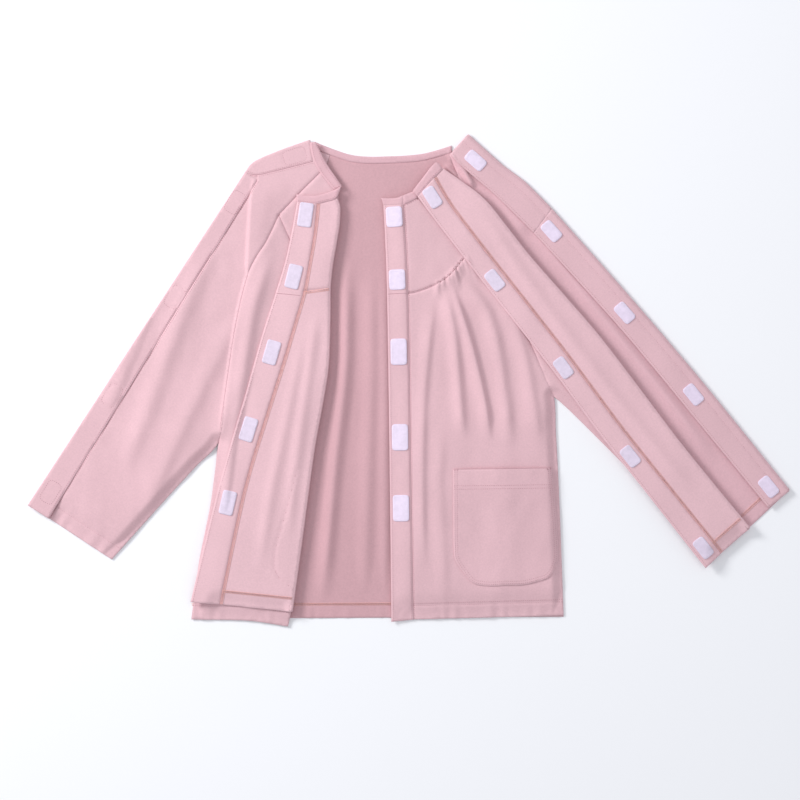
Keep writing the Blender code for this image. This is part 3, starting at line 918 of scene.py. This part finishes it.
BODY_FOLD_TOP = path("right_sleeve_front", (0.760, 0.97), (0.747, 0.90), (0.738, 0.80), (0.733, 0.73))
BODY_FOLD = np.vstack([BODY_FOLD_TOP, RIGHT_RAGLAN[RIGHT_RAGLAN[:, 1] < BODY_FOLD_TOP[-1][1] - 10 * MM]])
BACK_OPEN = [
    between(RIGHT_FOLD, LEFT_FREE, np.linspace(0.12, 1.04, 12), across)
    for across in (0.30, 0.72, 0.93)
]
NECK_PLEATS = (
    ((-0.02, 0.935), (0.02, 0.905), (0.06, 0.855)),
    ((-0.01, 0.965), (0.035, 0.925), (0.075, 0.870)),
)
BACK = Layer(
    BACK_BASE,
    [
        ridge(BACK_OPEN[0], 7.0 * MM, 10 * MM, 9 * MM),
        ridge(BACK_OPEN[1], 3.4 * MM, 10 * MM, 12 * MM),
        ridge(BACK_OPEN[2], 2.6 * MM, 7 * MM, 8 * MM),
        *grooves((beside(BACK_HEM, INSIDE_HEM), 0.7, 2.2)),
        *hem(BACK_HEM, 2),
        *folds(
            "left_sleeve_back",
            (3.4, 9, 6, ((0.19, 0.83), (0.42, 0.60), (0.62, 0.40), (0.80, 0.21))),
            (2.6, 7, 9, ((0.30, 0.80), (0.48, 0.60), (0.68, 0.41), (0.86, 0.22))),
            (3.0, 8, 8, ((0.10, 0.92), (0.16, 0.84), (0.24, 0.76))),
            *[(5.0, 4, 4, shares) for shares in NECK_PLEATS],
        ),
        undulation(1.3 * MM, 60 * MM, 1, (1, 2.6)),
    ],
)

FRONT = Layer(
    FRONT_BASE,
    [
        edge_drop([RIGHT_SIDE, RIGHT_UNDERARM, LEFT_SIDE, LEFT_UNDERARM], 6.6 * MM, SIDE_REACH),
        edge_drop([RIGHT_HEM, LEFT_HEM, RIGHT_CUFF, SLEEVE_CUFF], 6.2 * MM, HEM_REACH),
        edge_drop([LEFT_FREE], 3.2 * MM, FREE_REACH),
        *hem(LEFT_HEM, 4),
        *hem(RIGHT_HEM, 5),
        *hem(RIGHT_CUFF, 6),
        *hem(SLEEVE_CUFF, 7),
        *grooves(
            (LEFT_SEAM, 1.1, 1.6),
            (LEFT_YOKE, 1.5, 1.8),
            (RIGHT_RAGLAN, 1.4, 1.8),
            (RIGHT_YOKE_RAGLAN, 1.4, 1.8),
            (RIGHT_YOKE_SEAM, 1.2, 1.8),
            (LEFT_RAGLAN, 1.2, 1.8),
            (LEFT_YOKE_RAGLAN, 1.2, 1.8),
            (RIGHT_ARM_SEAM, 1.0, 1.6),
            (beside(LEFT_HEM, HEM_DEPTH), 0.7, 1.6),
            (beside(RIGHT_CUFF, HEM_DEPTH), 0.7, 1.6),
            (beside(LEFT_UNDERARM, UNDERARM_ROW), 1.3, 2.2),
        ),
        *fan(LEFT_YOKE, (0.12, -1.0), 9, 50 * MM, 6.0 * MM, 2.3 * MM, 11, 0.40, 0.86, 0.9),
        *folds(
            "left_front_panel",
            (4.6, 7, 10, ((0.22, 0.895), (0.29, 0.78), (0.32, 0.67), (0.34, 0.56), (0.36, 0.47))),
            (5.4, 4.5, 11, ((0.27, 0.90), (0.36, 0.80), (0.43, 0.70), (0.50, 0.57), (0.53, 0.47))),
            (4.4, 9, 12, ((0.32, 0.92), (0.50, 0.83), (0.57, 0.74), (0.63, 0.58), (0.66, 0.45))),
            (3.2, 6, 12, ((0.17, 0.88), (0.14, 0.77), (0.10, 0.58), (0.09, 0.35), (0.10, 0.12))),
            (3.0, 8, 12, ((0.44, 0.93), (0.62, 0.84), (0.74, 0.72), (0.82, 0.54), (0.86, 0.44))),
            (1.6, 8, 12, ((0.22, 0.52), (0.20, 0.38), (0.22, 0.20), (0.24, 0.04))),
            (1.8, 26, 30, ((0.58, 0.52), (0.60, 0.34), (0.62, 0.16), (0.62, 0.0))),
        ),
        tuck(BODY_FOLD, 5.2 * MM, 2.2 * MM, 46 * MM),
        *folds(
            "right_sleeve_front",
            (3.4, 14, 16, ((0.62, 0.80), (0.50, 0.62), (0.38, 0.40), (0.27, 0.20))),
            (2.8, 12, 18, ((0.70, 0.62), (0.56, 0.42), (0.44, 0.25), (0.34, 0.10))),
            (2.4, 10, 14, ((0.42, 0.70), (0.30, 0.50), (0.20, 0.34))),
        ),
        *folds(
            "right_front_panel",
            (4.0, 9, 13, ((0.60, 0.93), (0.46, 0.78), (0.38, 0.62), (0.30, 0.45), (0.22, 0.2))),
            (2.6, 9, 12, ((0.30, 0.62), (0.20, 0.44), (0.12, 0.22), (0.09, 0.06))),
        ),
        *folds(
            "left_sleeve_front",
            (2.2, 9, 12, ((0.50, 0.42), (0.62, 0.29), (0.75, 0.16))),
        ),
        undulation(1.8 * MM, 55 * MM, 2, (1, 2.6)),
        undulation(0.5 * MM, 18 * MM, 5, (1, 1.6)),
    ],
    below=BACK,
    flat_along=(RIGHT_FOLD, SLEEVE_FOLD),
)

UNDER = Layer(UNDER_BASE, [], below=BACK, thickness=DOUBLED)
HOOKS = Layer(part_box("right_sleeve_hook_patch_1")[0].z, [], thickness=PATCH)
TOP = Layer(
    CLOTH - DOUBLED,
    [
        FRONT.height,
        *grooves(*[(outline, 1.0, 1.1) for outline in SLEEVE_PATCH_OUTLINES]),
    ],
    below=HOOKS,
    thickness=DOUBLED,
)
EDGE = Layer(
    EDGE_BASE,
    [
        undulation(1.5 * MM, 60 * MM, 3),
        *grooves(
            (beside(BACK_ARM_OUTER, -UNDERARM_ROW), 0.7, 1.6),
            (beside(BACK_SHOULDER_OUTER, -UNDERARM_ROW), 0.7, 1.6),
        ),
    ],
    below=BACK,
    thickness=DOUBLED,
    flat_along=(BACK_ARM_OUTER, BACK_SHOULDER_OUTER),
)
FLAP = Layer(
    FLAP_BASE,
    [
        edge_drop([RIGHT_FLAP_FREE, SLEEVE_FREE], 1.0 * MM, FLAP_REACH),
        edge_drop([FLAP_CUFF, RIGHT_FLAP_HEM], 5.0 * MM, FLAP_HEM_REACH),
        *grooves(
            (RIGHT_FLAP_SEAM, 0.9, 1.6),
            (RIGHT_FLAP_YOKE, 1.2, 1.6),
            (SLEEVE_SEAM, 0.9, 1.6),
            (POCKET_SHOWS, 1.2, 1.4),
        ),
        *folds(
            "right_front_flap_panel",
            (2.6, 8, 9, ((0.90, 0.95), (0.80, 0.70), (0.68, 0.40), (0.62, 0.20))),
            (2.0, 8, 9, ((0.80, 0.90), (0.62, 0.60), (0.46, 0.34), (0.36, 0.10))),
        ),
        *folds(
            "left_sleeve_front_flap",
            (2.4, 10, 9, ((0.12, 0.92), (0.34, 0.66), (0.60, 0.38), (0.86, 0.12))),
        ),
        undulation(1.4 * MM, 45 * MM, 4, (1, 2)),
    ],
    below=FRONT,
    flat_along=(RIGHT_FOLD, SLEEVE_FOLD),
)


def pocket_swell(points):
    """The pocket stands off the panel, most of all at the middle of its mouth."""
    low, high = POCKET_LOOP.min(0), POCKET_LOOP.max(0)
    u = np.clip((points[:, 0] - low[0]) / (high[0] - low[0]), 0, 1)
    v = np.clip((points[:, 1] - low[1]) / (high[1] - low[1]), 0, 1)
    across = np.sin(math.pi * u) ** 0.8
    return across * (1.2 * MM * np.sin(math.pi * v) ** 0.7 + 3.0 * MM * smoothstep(v * 2.2 - 1.2))


POCKET = Layer(
    0.0,
    [FRONT.top, pocket_swell, lambda points: np.full(len(points), LAYER_GAP)],
    below=FRONT,
)
HIDDEN_POCKET = Layer(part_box("right_pocket")[0].z, [], below=FRONT)
HIDDEN_FLAP_POCKET = Layer(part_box("right_pocket_flap_half")[0].z, [])


# ---------------------------------------------------------------- pieces of cloth


def cloth_piece(node, layer, thickness, top, under, slot, rests_on=(), spacing=GRID):
    loop = rounded(grown(cad_outline(node), SEAM_REACH), spacing)
    looks = [MATERIALS[top], MATERIALS[under]]
    piece = sheet_mesh(f"{node}_cloth", loop, layer.height, thickness, looks, spacing)
    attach(piece, BODY_OF[node])
    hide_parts(node)
    declare_sheet(loop, rests_on)
    return piece


def back_layer():
    # The back panel's inside is painted with shade (SHADED).
    cloth_piece("back_panel", BACK, CLOTH, "back_inside_painted_shade", "body_outer", "outer_knit")
    cloth_piece("right_sleeve_back", BACK, CLOTH, "right_inner", "right_outer", "outer_knit")
    # The left sleeve back's inside is painted with shade (SLEEVE_SHADED).
    cloth_piece("left_sleeve_back", BACK, CLOTH, "left_back_inside_painted_shade", "left_outer", "outer_knit")
    cloth_piece("back_neck_band", BACK, DOUBLED, "band", "band", "band_knit", spacing=STRIP_GRID)


def front_layer():
    on_back = ["back_panel_cloth"]
    on_sleeve = ["right_sleeve_back_cloth"]
    rows = (
        ("right_sleeve_front", "right_outer", "right_inner", on_sleeve),
        ("right_front_yoke", "body_outer", "body_inner", on_back),
        ("right_front_panel", "body_outer", "body_inner", on_back),
        ("left_front_yoke", "body_outer", "body_inner", on_back),
        ("left_front_panel", "body_outer", "body_inner", on_back),
        ("left_sleeve_front", "left_outer", "left_inner", ["left_sleeve_back_cloth"]),
    )
    for node, top, under, rests_on in rows:
        spacing = FINE_GRID if node in ("right_sleeve_front", "left_front_panel") else GRID
        cloth_piece(node, FRONT, CLOTH, top, under, "outer_knit", rests_on=rests_on, spacing=spacing)
    for node in ("right_sleeve_neck_band", "left_front_neck_band", "left_front_placket_neck_band"):
        cloth_piece(node, FRONT, DOUBLED, "band", "band", "band_knit", spacing=STRIP_GRID)
    cloth_piece(
        "left_front_placket", FRONT, DOUBLED, "body_outer", "body_outer", "placket_knit",
        rests_on=on_back, spacing=STRIP_GRID,
    )


def closed_sleeve_plackets():
    for part in ("right_shoulder", "right_sleeve"):
        cloth_piece(
            f"{part}_under_placket", UNDER, DOUBLED, "right_inner", "right_outer", "placket_knit",
            rests_on=["right_sleeve_back_cloth"], spacing=STRIP_GRID,
        )
        cloth_piece(
            f"{part}_top_placket", TOP, DOUBLED, "right_outer", "right_inner", "placket_knit",
            rests_on=[f"{part}_under_placket_cloth"], spacing=STRIP_GRID,
        )


def shoulder_corner():
    """The bit of the sleeve between the ends of its two top plackets."""
    gaps = np.linalg.norm(RIGHT_SHOULDER_SEAM - RIGHT_ARM_SEAM[0], axis=1)
    inner_end = RIGHT_SHOULDER_SEAM[gaps.argmin()]
    turns = np.linspace(0, 2 * math.pi, CORNER_STEPS, endpoint=False)
    ring = CORNER_TUCK * np.column_stack([np.cos(turns), np.sin(turns)])
    ends = np.vstack(
        [
            at_share(RIGHT_SHOULDER_EDGE, 0.95),
            at_share(RIGHT_ARM_EDGE, 0.015),
            inner_end + ring,
            RIGHT_ARM_SEAM[0] + ring,
        ]
    )
    around = geometry.convex_hull_2d([Vector(p) for p in ends])
    loop = ends[around]
    loop = at_share(closed(loop), np.arange(CORNER_POINTS) / CORNER_POINTS)
    looks = [MATERIALS["right_outer"], MATERIALS["right_inner"]]
    piece = sheet_mesh("right_shoulder_corner", loop, lambda p: TOP.height(p) + STRIP_SUNK, CLOTH, looks)
    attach(piece, "root")
    declare_sheet(loop, ["right_shoulder_under_placket_cloth"])


def open_sleeve_edges():
    for part in ("left_shoulder", "left_sleeve"):
        cloth_piece(
            f"{part}_back_placket", EDGE, DOUBLED, "left_outer", "left_inner", "placket_knit",
            rests_on=["left_sleeve_back_cloth"], spacing=STRIP_GRID,
        )


def flaps():
    rows = (
        ("right_front_flap_yoke", CLOTH, "body_inner", "body_outer", "outer_knit"),
        ("right_front_flap_panel", CLOTH, "body_inner", "body_outer", "outer_knit"),
        ("right_front_placket", DOUBLED, "body_inner", "body_outer", "placket_knit"),
        ("right_front_neck_band", DOUBLED, "band", "band", "band_knit"),
        ("left_sleeve_front_flap", CLOTH, "left_inner", "left_outer", "outer_knit"),
        ("left_sleeve_front_placket", DOUBLED, "left_inner", "left_outer", "placket_knit"),
        ("left_sleeve_neck_band", DOUBLED, "band", "band", "band_knit"),
    )
    for node, thickness, top, under, slot in rows:
        rests_on = "right_front_panel_cloth" if node.startswith("right") else "left_sleeve_front_cloth"
        spacing = GRID if thickness == CLOTH else STRIP_GRID
        cloth_piece(node, FLAP, thickness, top, under, slot, [rests_on], spacing)


def pockets():
    cloth_piece(
        "left_pocket", POCKET, CLOTH, "body_outer", "body_inner", "outer_knit",
        rests_on=["left_front_panel_cloth"], spacing=STRIP_GRID,
    )
    cloth_piece(
        "right_pocket", HIDDEN_POCKET, CLOTH, "body_outer", "body_inner", "outer_knit",
        rests_on=["right_front_panel_cloth"],
    )
    cloth_piece(
        "right_pocket_flap_half", HIDDEN_FLAP_POCKET, CLOTH, "body_inner", "body_outer", "outer_knit",
        rests_on=["right_pocket_cloth"],
    )


# ---------------------------------------------------------------- hook-and-loop patches


def flat_at(node):
    """The height of a CAD node's underside, for a piece that nothing disturbs."""
    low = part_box(node)[0].z
    return lambda points: np.full(len(points), low)


def patch_piece(node, layer=None):
    """A rounded patch of tape, which follows the placket that it is sewn to."""
    inset = NARROW_TAPE if node.startswith("right_front") else 0.0
    loop = rounded(grown(cad_outline(node), -inset), PATCH_GRID)
    kind = "hook" if "hook" in node else "loop"
    height = (lambda points: layer.top(points, DOUBLED) - PATCH_BEDDED) if layer else flat_at(node)
    looks = [MATERIALS[kind], MATERIALS[kind]]
    piece = sheet_mesh(f"{node}_tape", loop, height, PATCH, looks, PATCH_GRID)
    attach(piece, BODY_OF[node])
    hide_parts(node)
    border = closed(grown(loop, -PATCH_BORDER))
    return stitch_parts(border, lambda points: height(points) + PATCH, PATCH_STITCH_RADIUS)


def patches():
    shown = {
        "right_front_hook_patch": FLAP,
        "left_front_loop_patch": FRONT,
        "left_sleeve_hook_patch": FLAP,
        "left_shoulder_back_loop_patch": EDGE,
        "left_sleeve_back_loop_patch": EDGE,
    }
    borders = {}
    for node in sorted(n for n in NODES if "_patch_" in n):
        layer = shown.get(node.rsplit("_", 1)[0])
        stitches = patch_piece(node, layer)
        if layer:
            borders.setdefault(BODY_OF[node], []).extend(stitches)
    for body, parts in borders.items():
        thread_piece(f"{body}_patch_stitches", parts, MATERIALS["patch_thread"], body)


# ---------------------------------------------------------------- folds and hinged seams


def fold_roll(name, line, outward, low, high, look):
    """The cloth that turns over along a fold: half a tube between the two layers."""
    line = at_share(line, np.linspace(0, 1, int(length_of(line) / GRID)))
    ways = np.gradient(line, axis=0)
    ways /= np.linalg.norm(ways, axis=1)[:, None]
    normal = np.column_stack([ways[:, 1], -ways[:, 0]])
    if (normal @ np.array(outward)).mean() < 0:
        normal = -normal
    radius = (high - low) / 2
    turns = np.linspace(-math.pi / 2, math.pi / 2, ROLL_STEPS)
    section = [((radius + CLOTH / 2) * math.cos(t), (radius + CLOTH / 2) * math.sin(t)) for t in turns]
    section += [
        ((radius - CLOTH / 2) * math.cos(t), (radius - CLOTH / 2) * math.sin(t)) for t in turns[::-1]
    ]
    tucked = [(-ROLL_TUCK, section[i][1] + rise) for i, rise in ((0, SUNK), (ROLL_STEPS - 1, -SUNK))]
    section = [tucked[0], *section[:ROLL_STEPS], tucked[1], *section[ROLL_STEPS:]]
    rings = []
    for x, z in section:
        plan = line + normal * x
        rings.append(np.column_stack([plan, np.full(len(line), (low + high) / 2 + z)]))
    rings = np.stack(rings, axis=1)
    n, m = rings.shape[:2]
    flipped = np.cross(np.append(ways[0], 0), np.append(normal[0], 0))[2] > 0
    faces = []
    for i in range(n - 1):
        for j in range(m):
            k = (j + 1) % m
            face = (i * m + j, (i + 1) * m + j, (i + 1) * m + k, i * m + k)
            faces.append(face[::-1] if flipped else face)
    start, end = tuple(range(m)), tuple((n - 1) * m + j for j in reversed(range(m)))
    faces += [start[::-1], end[::-1]] if flipped else [start, end]
    piece = add_object(name, rings.reshape(-1, 3), faces, [MATERIALS[look]])
    middle = Vector((*line[len(line) // 2], 0))
    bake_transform(piece)
    return piece


def hinged_seam(name, line, count, layer, look):
    """Short strips inside a seam that is also a hinge, which keep it closed as it turns."""
    for i in range(count):
        part = part_of(line, i / count, (i + 1) / count, 12)
        loop = np.vstack([beside(part, STRIP_HALF), beside(part, -STRIP_HALF)[::-1]])
        if np.dot(loop[:, 0], np.roll(loop[:, 1], -1)) < np.dot(loop[:, 1], np.roll(loop[:, 0], -1)):
            loop = loop[::-1]
        piece = sheet_mesh(
            f"{name}_{i + 1}",
            rounded(loop, STRIP_GRID / 2),
            lambda points: layer.height(points) + STRIP_SUNK,
            CLOTH / 2,
            [MATERIALS[look]] * 2,
            STRIP_GRID / 2,
        )
        middle = part[len(part) // 2]
        z = layer.height(middle[None, :])[0]
        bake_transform(piece)


def fold_rolls():
    front = FRONT_BASE + CLOTH / 2
    flap = FLAP_BASE + CLOTH / 2
    fold_roll("right_front_fold_roll", RIGHT_FOLD, (1, 0), front, flap, "body_inner")
    fold_roll("left_sleeve_fold_roll", SLEEVE_FOLD, (1, 1), front, flap, "left_inner")
    low, high = BACK_BASE + LAYER_GAP + CLOTH / 2, EDGE_BASE + DOUBLED / 2
    fold_roll("left_sleeve_back_roll", BACK_ARM_OUTER, (1, 1), low, high, "left_outer")
    fold_roll("left_shoulder_back_roll", BACK_SHOULDER_OUTER, (1, 1), low, high, "left_outer")


def hinged_seams():
    hinged_seam("left_front_placket_seam", LEFT_SEAM, 4, FRONT, "body_outer")
    hinged_seam("right_sleeve_placket_seam", RIGHT_ARM_SEAM, 1, FRONT, "right_outer")
    hinged_seam("right_shoulder_placket_seam", part_of(RIGHT_SHOULDER_SEAM, 0.02, 0.80), 1, FRONT,
                "right_outer")


# ---------------------------------------------------------------- threads


def rows_on(layer, thickness, *lines):
    return [(line, layer, thickness) for line in lines]


def sewn(name, rows, body, look, parts_of):
    """One piece of thread work for rows of (line, layer, thickness)."""
    parts = []
    for line, layer, thickness in rows:
        parts += parts_of(line, lambda points: layer.top(points, thickness))
    thread_piece(name, parts, MATERIALS[look], body)


def stitches(name, rows, body, look="pink_thread"):
    sewn(name, rows, body, look, stitch_parts)


def overlocks(name, rows, body):
    sewn(name, rows, body, "overlock_thread", overlock_parts)


def seams(name, rows, body):
    """The dark lines where one piece of cloth is turned under and sewn to the next."""
    sewn(name, rows, body, "seam_thread", seam_parts)


def seam_parts(line, surface):
    line = at_share(line, np.linspace(0, 1, max(2, round(length_of(line) / GRID))))
    return [tube(np.column_stack([line, surface(line) - SEAM_RADIUS / 2]), SEAM_RADIUS)]


def pocket_rows():
    """Two rows round the pocket, two across its mouth, and a bar tack at each end of the mouth."""
    mouth_height = POCKET_MOUTH[:, 1].mean()
    edges = stretches("left_pocket")
    others = [line for line in edges if abs(line[:, 1] - mouth_height).max() > HEM_DEPTH]
    rows = [beside(line, inset) for line in others for inset in POCKET_ROWS]
    rows += [beside(POCKET_MOUTH, depth) for depth in POCKET_BAND_ROWS]
    for start, end in BAR_TACK_ENDS:
        rows += [beside(part_of(POCKET_MOUTH, start, end, 4), depth) for depth in BAR_TACKS]
    return rows_on(POCKET, CLOTH, *rows)


def yoke_line(free_edge, seam, yoke_end):
    """The yoke's seam where it crosses a placket."""
    share = np.linalg.norm(seam - yoke_end, axis=1).argmin() / len(seam)
    return between(free_edge, seam, share, np.linspace(0, 1, YOKE_LINE_POINTS)[:, None])


def root_threads():
    rows = rows_on(
        FRONT,
        CLOTH,
        beside(LEFT_HEM, HEM_DEPTH),
        beside(LEFT_HEM, HEM_DEPTH + TWIN_NEEDLE),
        beside(LEFT_SEAM, TOPSTITCH),
        beside(LEFT_YOKE, TOPSTITCH),
        beside(LEFT_BAND_SEAM, -TOPSTITCH),
        beside(RIGHT_CUFF, HEM_DEPTH),
        beside(RIGHT_ARM_SEAM, TOPSTITCH),
        beside(RIGHT_SHOULDER_SEAM, TOPSTITCH),
    )
    band_insets = (TOPSTITCH, BAND_WIDTH)
    rows += rows_on(FRONT, DOUBLED, *[beside(RIGHT_BAND_SEAM, inset) for inset in band_insets])
    rows += rows_on(
        FRONT, CLOTH, beside(RIGHT_HEM, HEM_DEPTH), beside(LEFT_UNDERARM, UNDERARM_ROW)
    )
    stitches("front_stitches", rows + pocket_rows(), "root")
    rows = rows_on(
        FRONT,
        CLOTH,
        RIGHT_RAGLAN,
        RIGHT_YOKE_RAGLAN,
        RIGHT_YOKE_SEAM,
        RIGHT_ARM_SEAM,
        RIGHT_SHOULDER_SEAM,
        LEFT_YOKE,
        LEFT_SEAM,
        LEFT_BAND_SEAM,
    )
    rows += rows_on(POCKET, CLOTH, POCKET_MOUTH) + rows_on(BACK, CLOTH, BACK_BAND_SEAM)
    seams("front_seams", rows, "root")
    inside_rows = rows_on(BACK, CLOTH, beside(BACK_HEM, INSIDE_HEM), beside(BACK_CUFF, INSIDE_HEM))
    overlocks("back_overlock", inside_rows, "root")


def closed_sleeve_threads():
    for body, outlines in (
        ("right_shoulder_closure", SLEEVE_PATCH_OUTLINES[:1]),
        ("right_sleeve_closure", SLEEVE_PATCH_OUTLINES[1:]),
    ):
        stitches(f"{body}_patch_outlines", rows_on(TOP, DOUBLED, *outlines), body, "seam_thread")
    for body, seam in (
        ("right_sleeve_closure", part_of(RIGHT_ARM_SEAM, 0.01, 0.99)),
        ("right_shoulder_closure", part_of(RIGHT_SHOULDER_SEAM, 0.02, 0.98)),
    ):
        stitches(f"{body}_stitches", rows_on(TOP, DOUBLED, beside(seam, -TOPSTITCH)), body)


def left_placket_threads():
    across = yoke_line(LEFT_FREE, LEFT_SEAM, at("left_front_yoke", 0.0, 0.0))
    seams("left_placket_seam", rows_on(FRONT, DOUBLED, across), "left_front_edge")
    rows = rows_on(FRONT, DOUBLED, beside(LEFT_FREE, TOPSTITCH), beside(LEFT_SEAM, -TOPSTITCH))
    stitches("left_placket_stitches", rows, "left_front_edge")


def right_flap_threads():
    rows = rows_on(
        FLAP,
        CLOTH,
        beside(RIGHT_FLAP_SEAM, OVERLOCK_INSET),
        beside(RIGHT_FLAP_YOKE, YOKE_OVERLOCK_INSET),
        beside(RIGHT_FLAP_HEM, INSIDE_HEM),
    )
    overlocks("right_front_overlock", rows, "right_front_flap")
    rows = rows_on(FLAP, DOUBLED, beside(RIGHT_FLAP_FREE, TOPSTITCH), beside(FLAP_BAND_SEAM, TOPSTITCH))
    stitches("right_front_stitches", rows + rows_on(FLAP, CLOTH, POCKET_SHOWS), "right_front_flap")
    across = yoke_line(RIGHT_FLAP_FREE, RIGHT_FLAP_SEAM, at("right_front_flap_panel", 0.5, 1.0))
    rows = rows_on(FLAP, CLOTH, POCKET_SHOWS, FLAP_BAND_SEAM) + rows_on(FLAP, DOUBLED, across)
    seams("right_front_seams", rows, "right_front_flap")


def sleeve_flap_threads():
    rows = rows_on(FLAP, CLOTH, beside(SLEEVE_SEAM, OVERLOCK_INSET), beside(FLAP_CUFF, INSIDE_HEM))
    overlocks("left_sleeve_overlock", rows, "left_sleeve_flap")
    rows = rows_on(FLAP, DOUBLED, beside(SLEEVE_FREE, TOPSTITCH), beside(SLEEVE_BAND_SEAM, TOPSTITCH))
    stitches("left_sleeve_stitches", rows, "left_sleeve_flap")


def open_edge_threads():
    for part, outer, inner in (
        ("sleeve", BACK_ARM_OUTER, BACK_ARM_INNER),
        ("shoulder", BACK_SHOULDER_OUTER, BACK_SHOULDER_INNER),
    ):
        rows = rows_on(EDGE, DOUBLED, beside(outer, -UNDERARM_ROW), beside(inner, TOPSTITCH))
        stitches(f"left_{part}_back_stitches", rows, f"left_{part}_back_edge")


def threads():
    root_threads()
    closed_sleeve_threads()
    left_placket_threads()
    right_flap_threads()
    sleeve_flap_threads()
    open_edge_threads()


# ---------------------------------------------------------------- stage


def floor():
    made, _, shader = new_material("floor_paper", roughness=0.95, specular=0.1)
    shader.inputs["Base Color"].default_value = FLOOR_COLOUR
    corners = [(x * FLOOR_HALF, y * FLOOR_HALF, 0) for x, y in ((-1, -1), (1, -1), (1, 1), (-1, 1))]
    add_object("floor", corners, [(0, 1, 2, 3)], [made], smooth=False)


def area_light(name, place, size, power):
    """A square lamp that points at the gown."""
    data = bpy.data.lights.new(name, "AREA")
    data.shape = "SQUARE"
    data.size = size
    data.energy = power
    lamp = bpy.data.objects.new(name, data)
    lamp.location = place
    lamp.rotation_euler = (-Vector(place)).to_track_quat("-Z", "Y").to_euler()
    bpy.context.scene.collection.objects.link(lamp)


def light_and_camera():
    scene = bpy.context.scene
    world = bpy.data.worlds.new("studio")
    world.use_nodes = True
    background = world.node_tree.nodes["Background"]
    background.inputs["Color"].default_value = WORLD_COLOUR
    background.inputs["Strength"].default_value = WORLD_STRENGTH
    scene.world = world
    area_light("key", *KEY_LIGHT)
    area_light("fill", *FILL_LIGHT)
    scene.view_settings.view_transform = "Standard"
    data = bpy.data.cameras.new("camera")
    data.sensor_width = SENSOR
    data.lens = SENSOR * CAMERA_HEIGHT / FRAME_WIDTH
    camera = bpy.data.objects.new("camera", data)
    centre = sum((Vector(corner) for corner in CAD_BOX), Vector()) / 2
    camera.location = Vector((centre.x, centre.y, CAMERA_HEIGHT)) + LOOK_OFFSET
    scene.collection.objects.link(camera)
    scene.camera = camera


back_layer()
front_layer()
closed_sleeve_plackets()
shoulder_corner()
open_sleeve_edges()
flaps()
pockets()
patches()
fold_rolls()
hinged_seams()
threads()
floor()
light_and_camera()
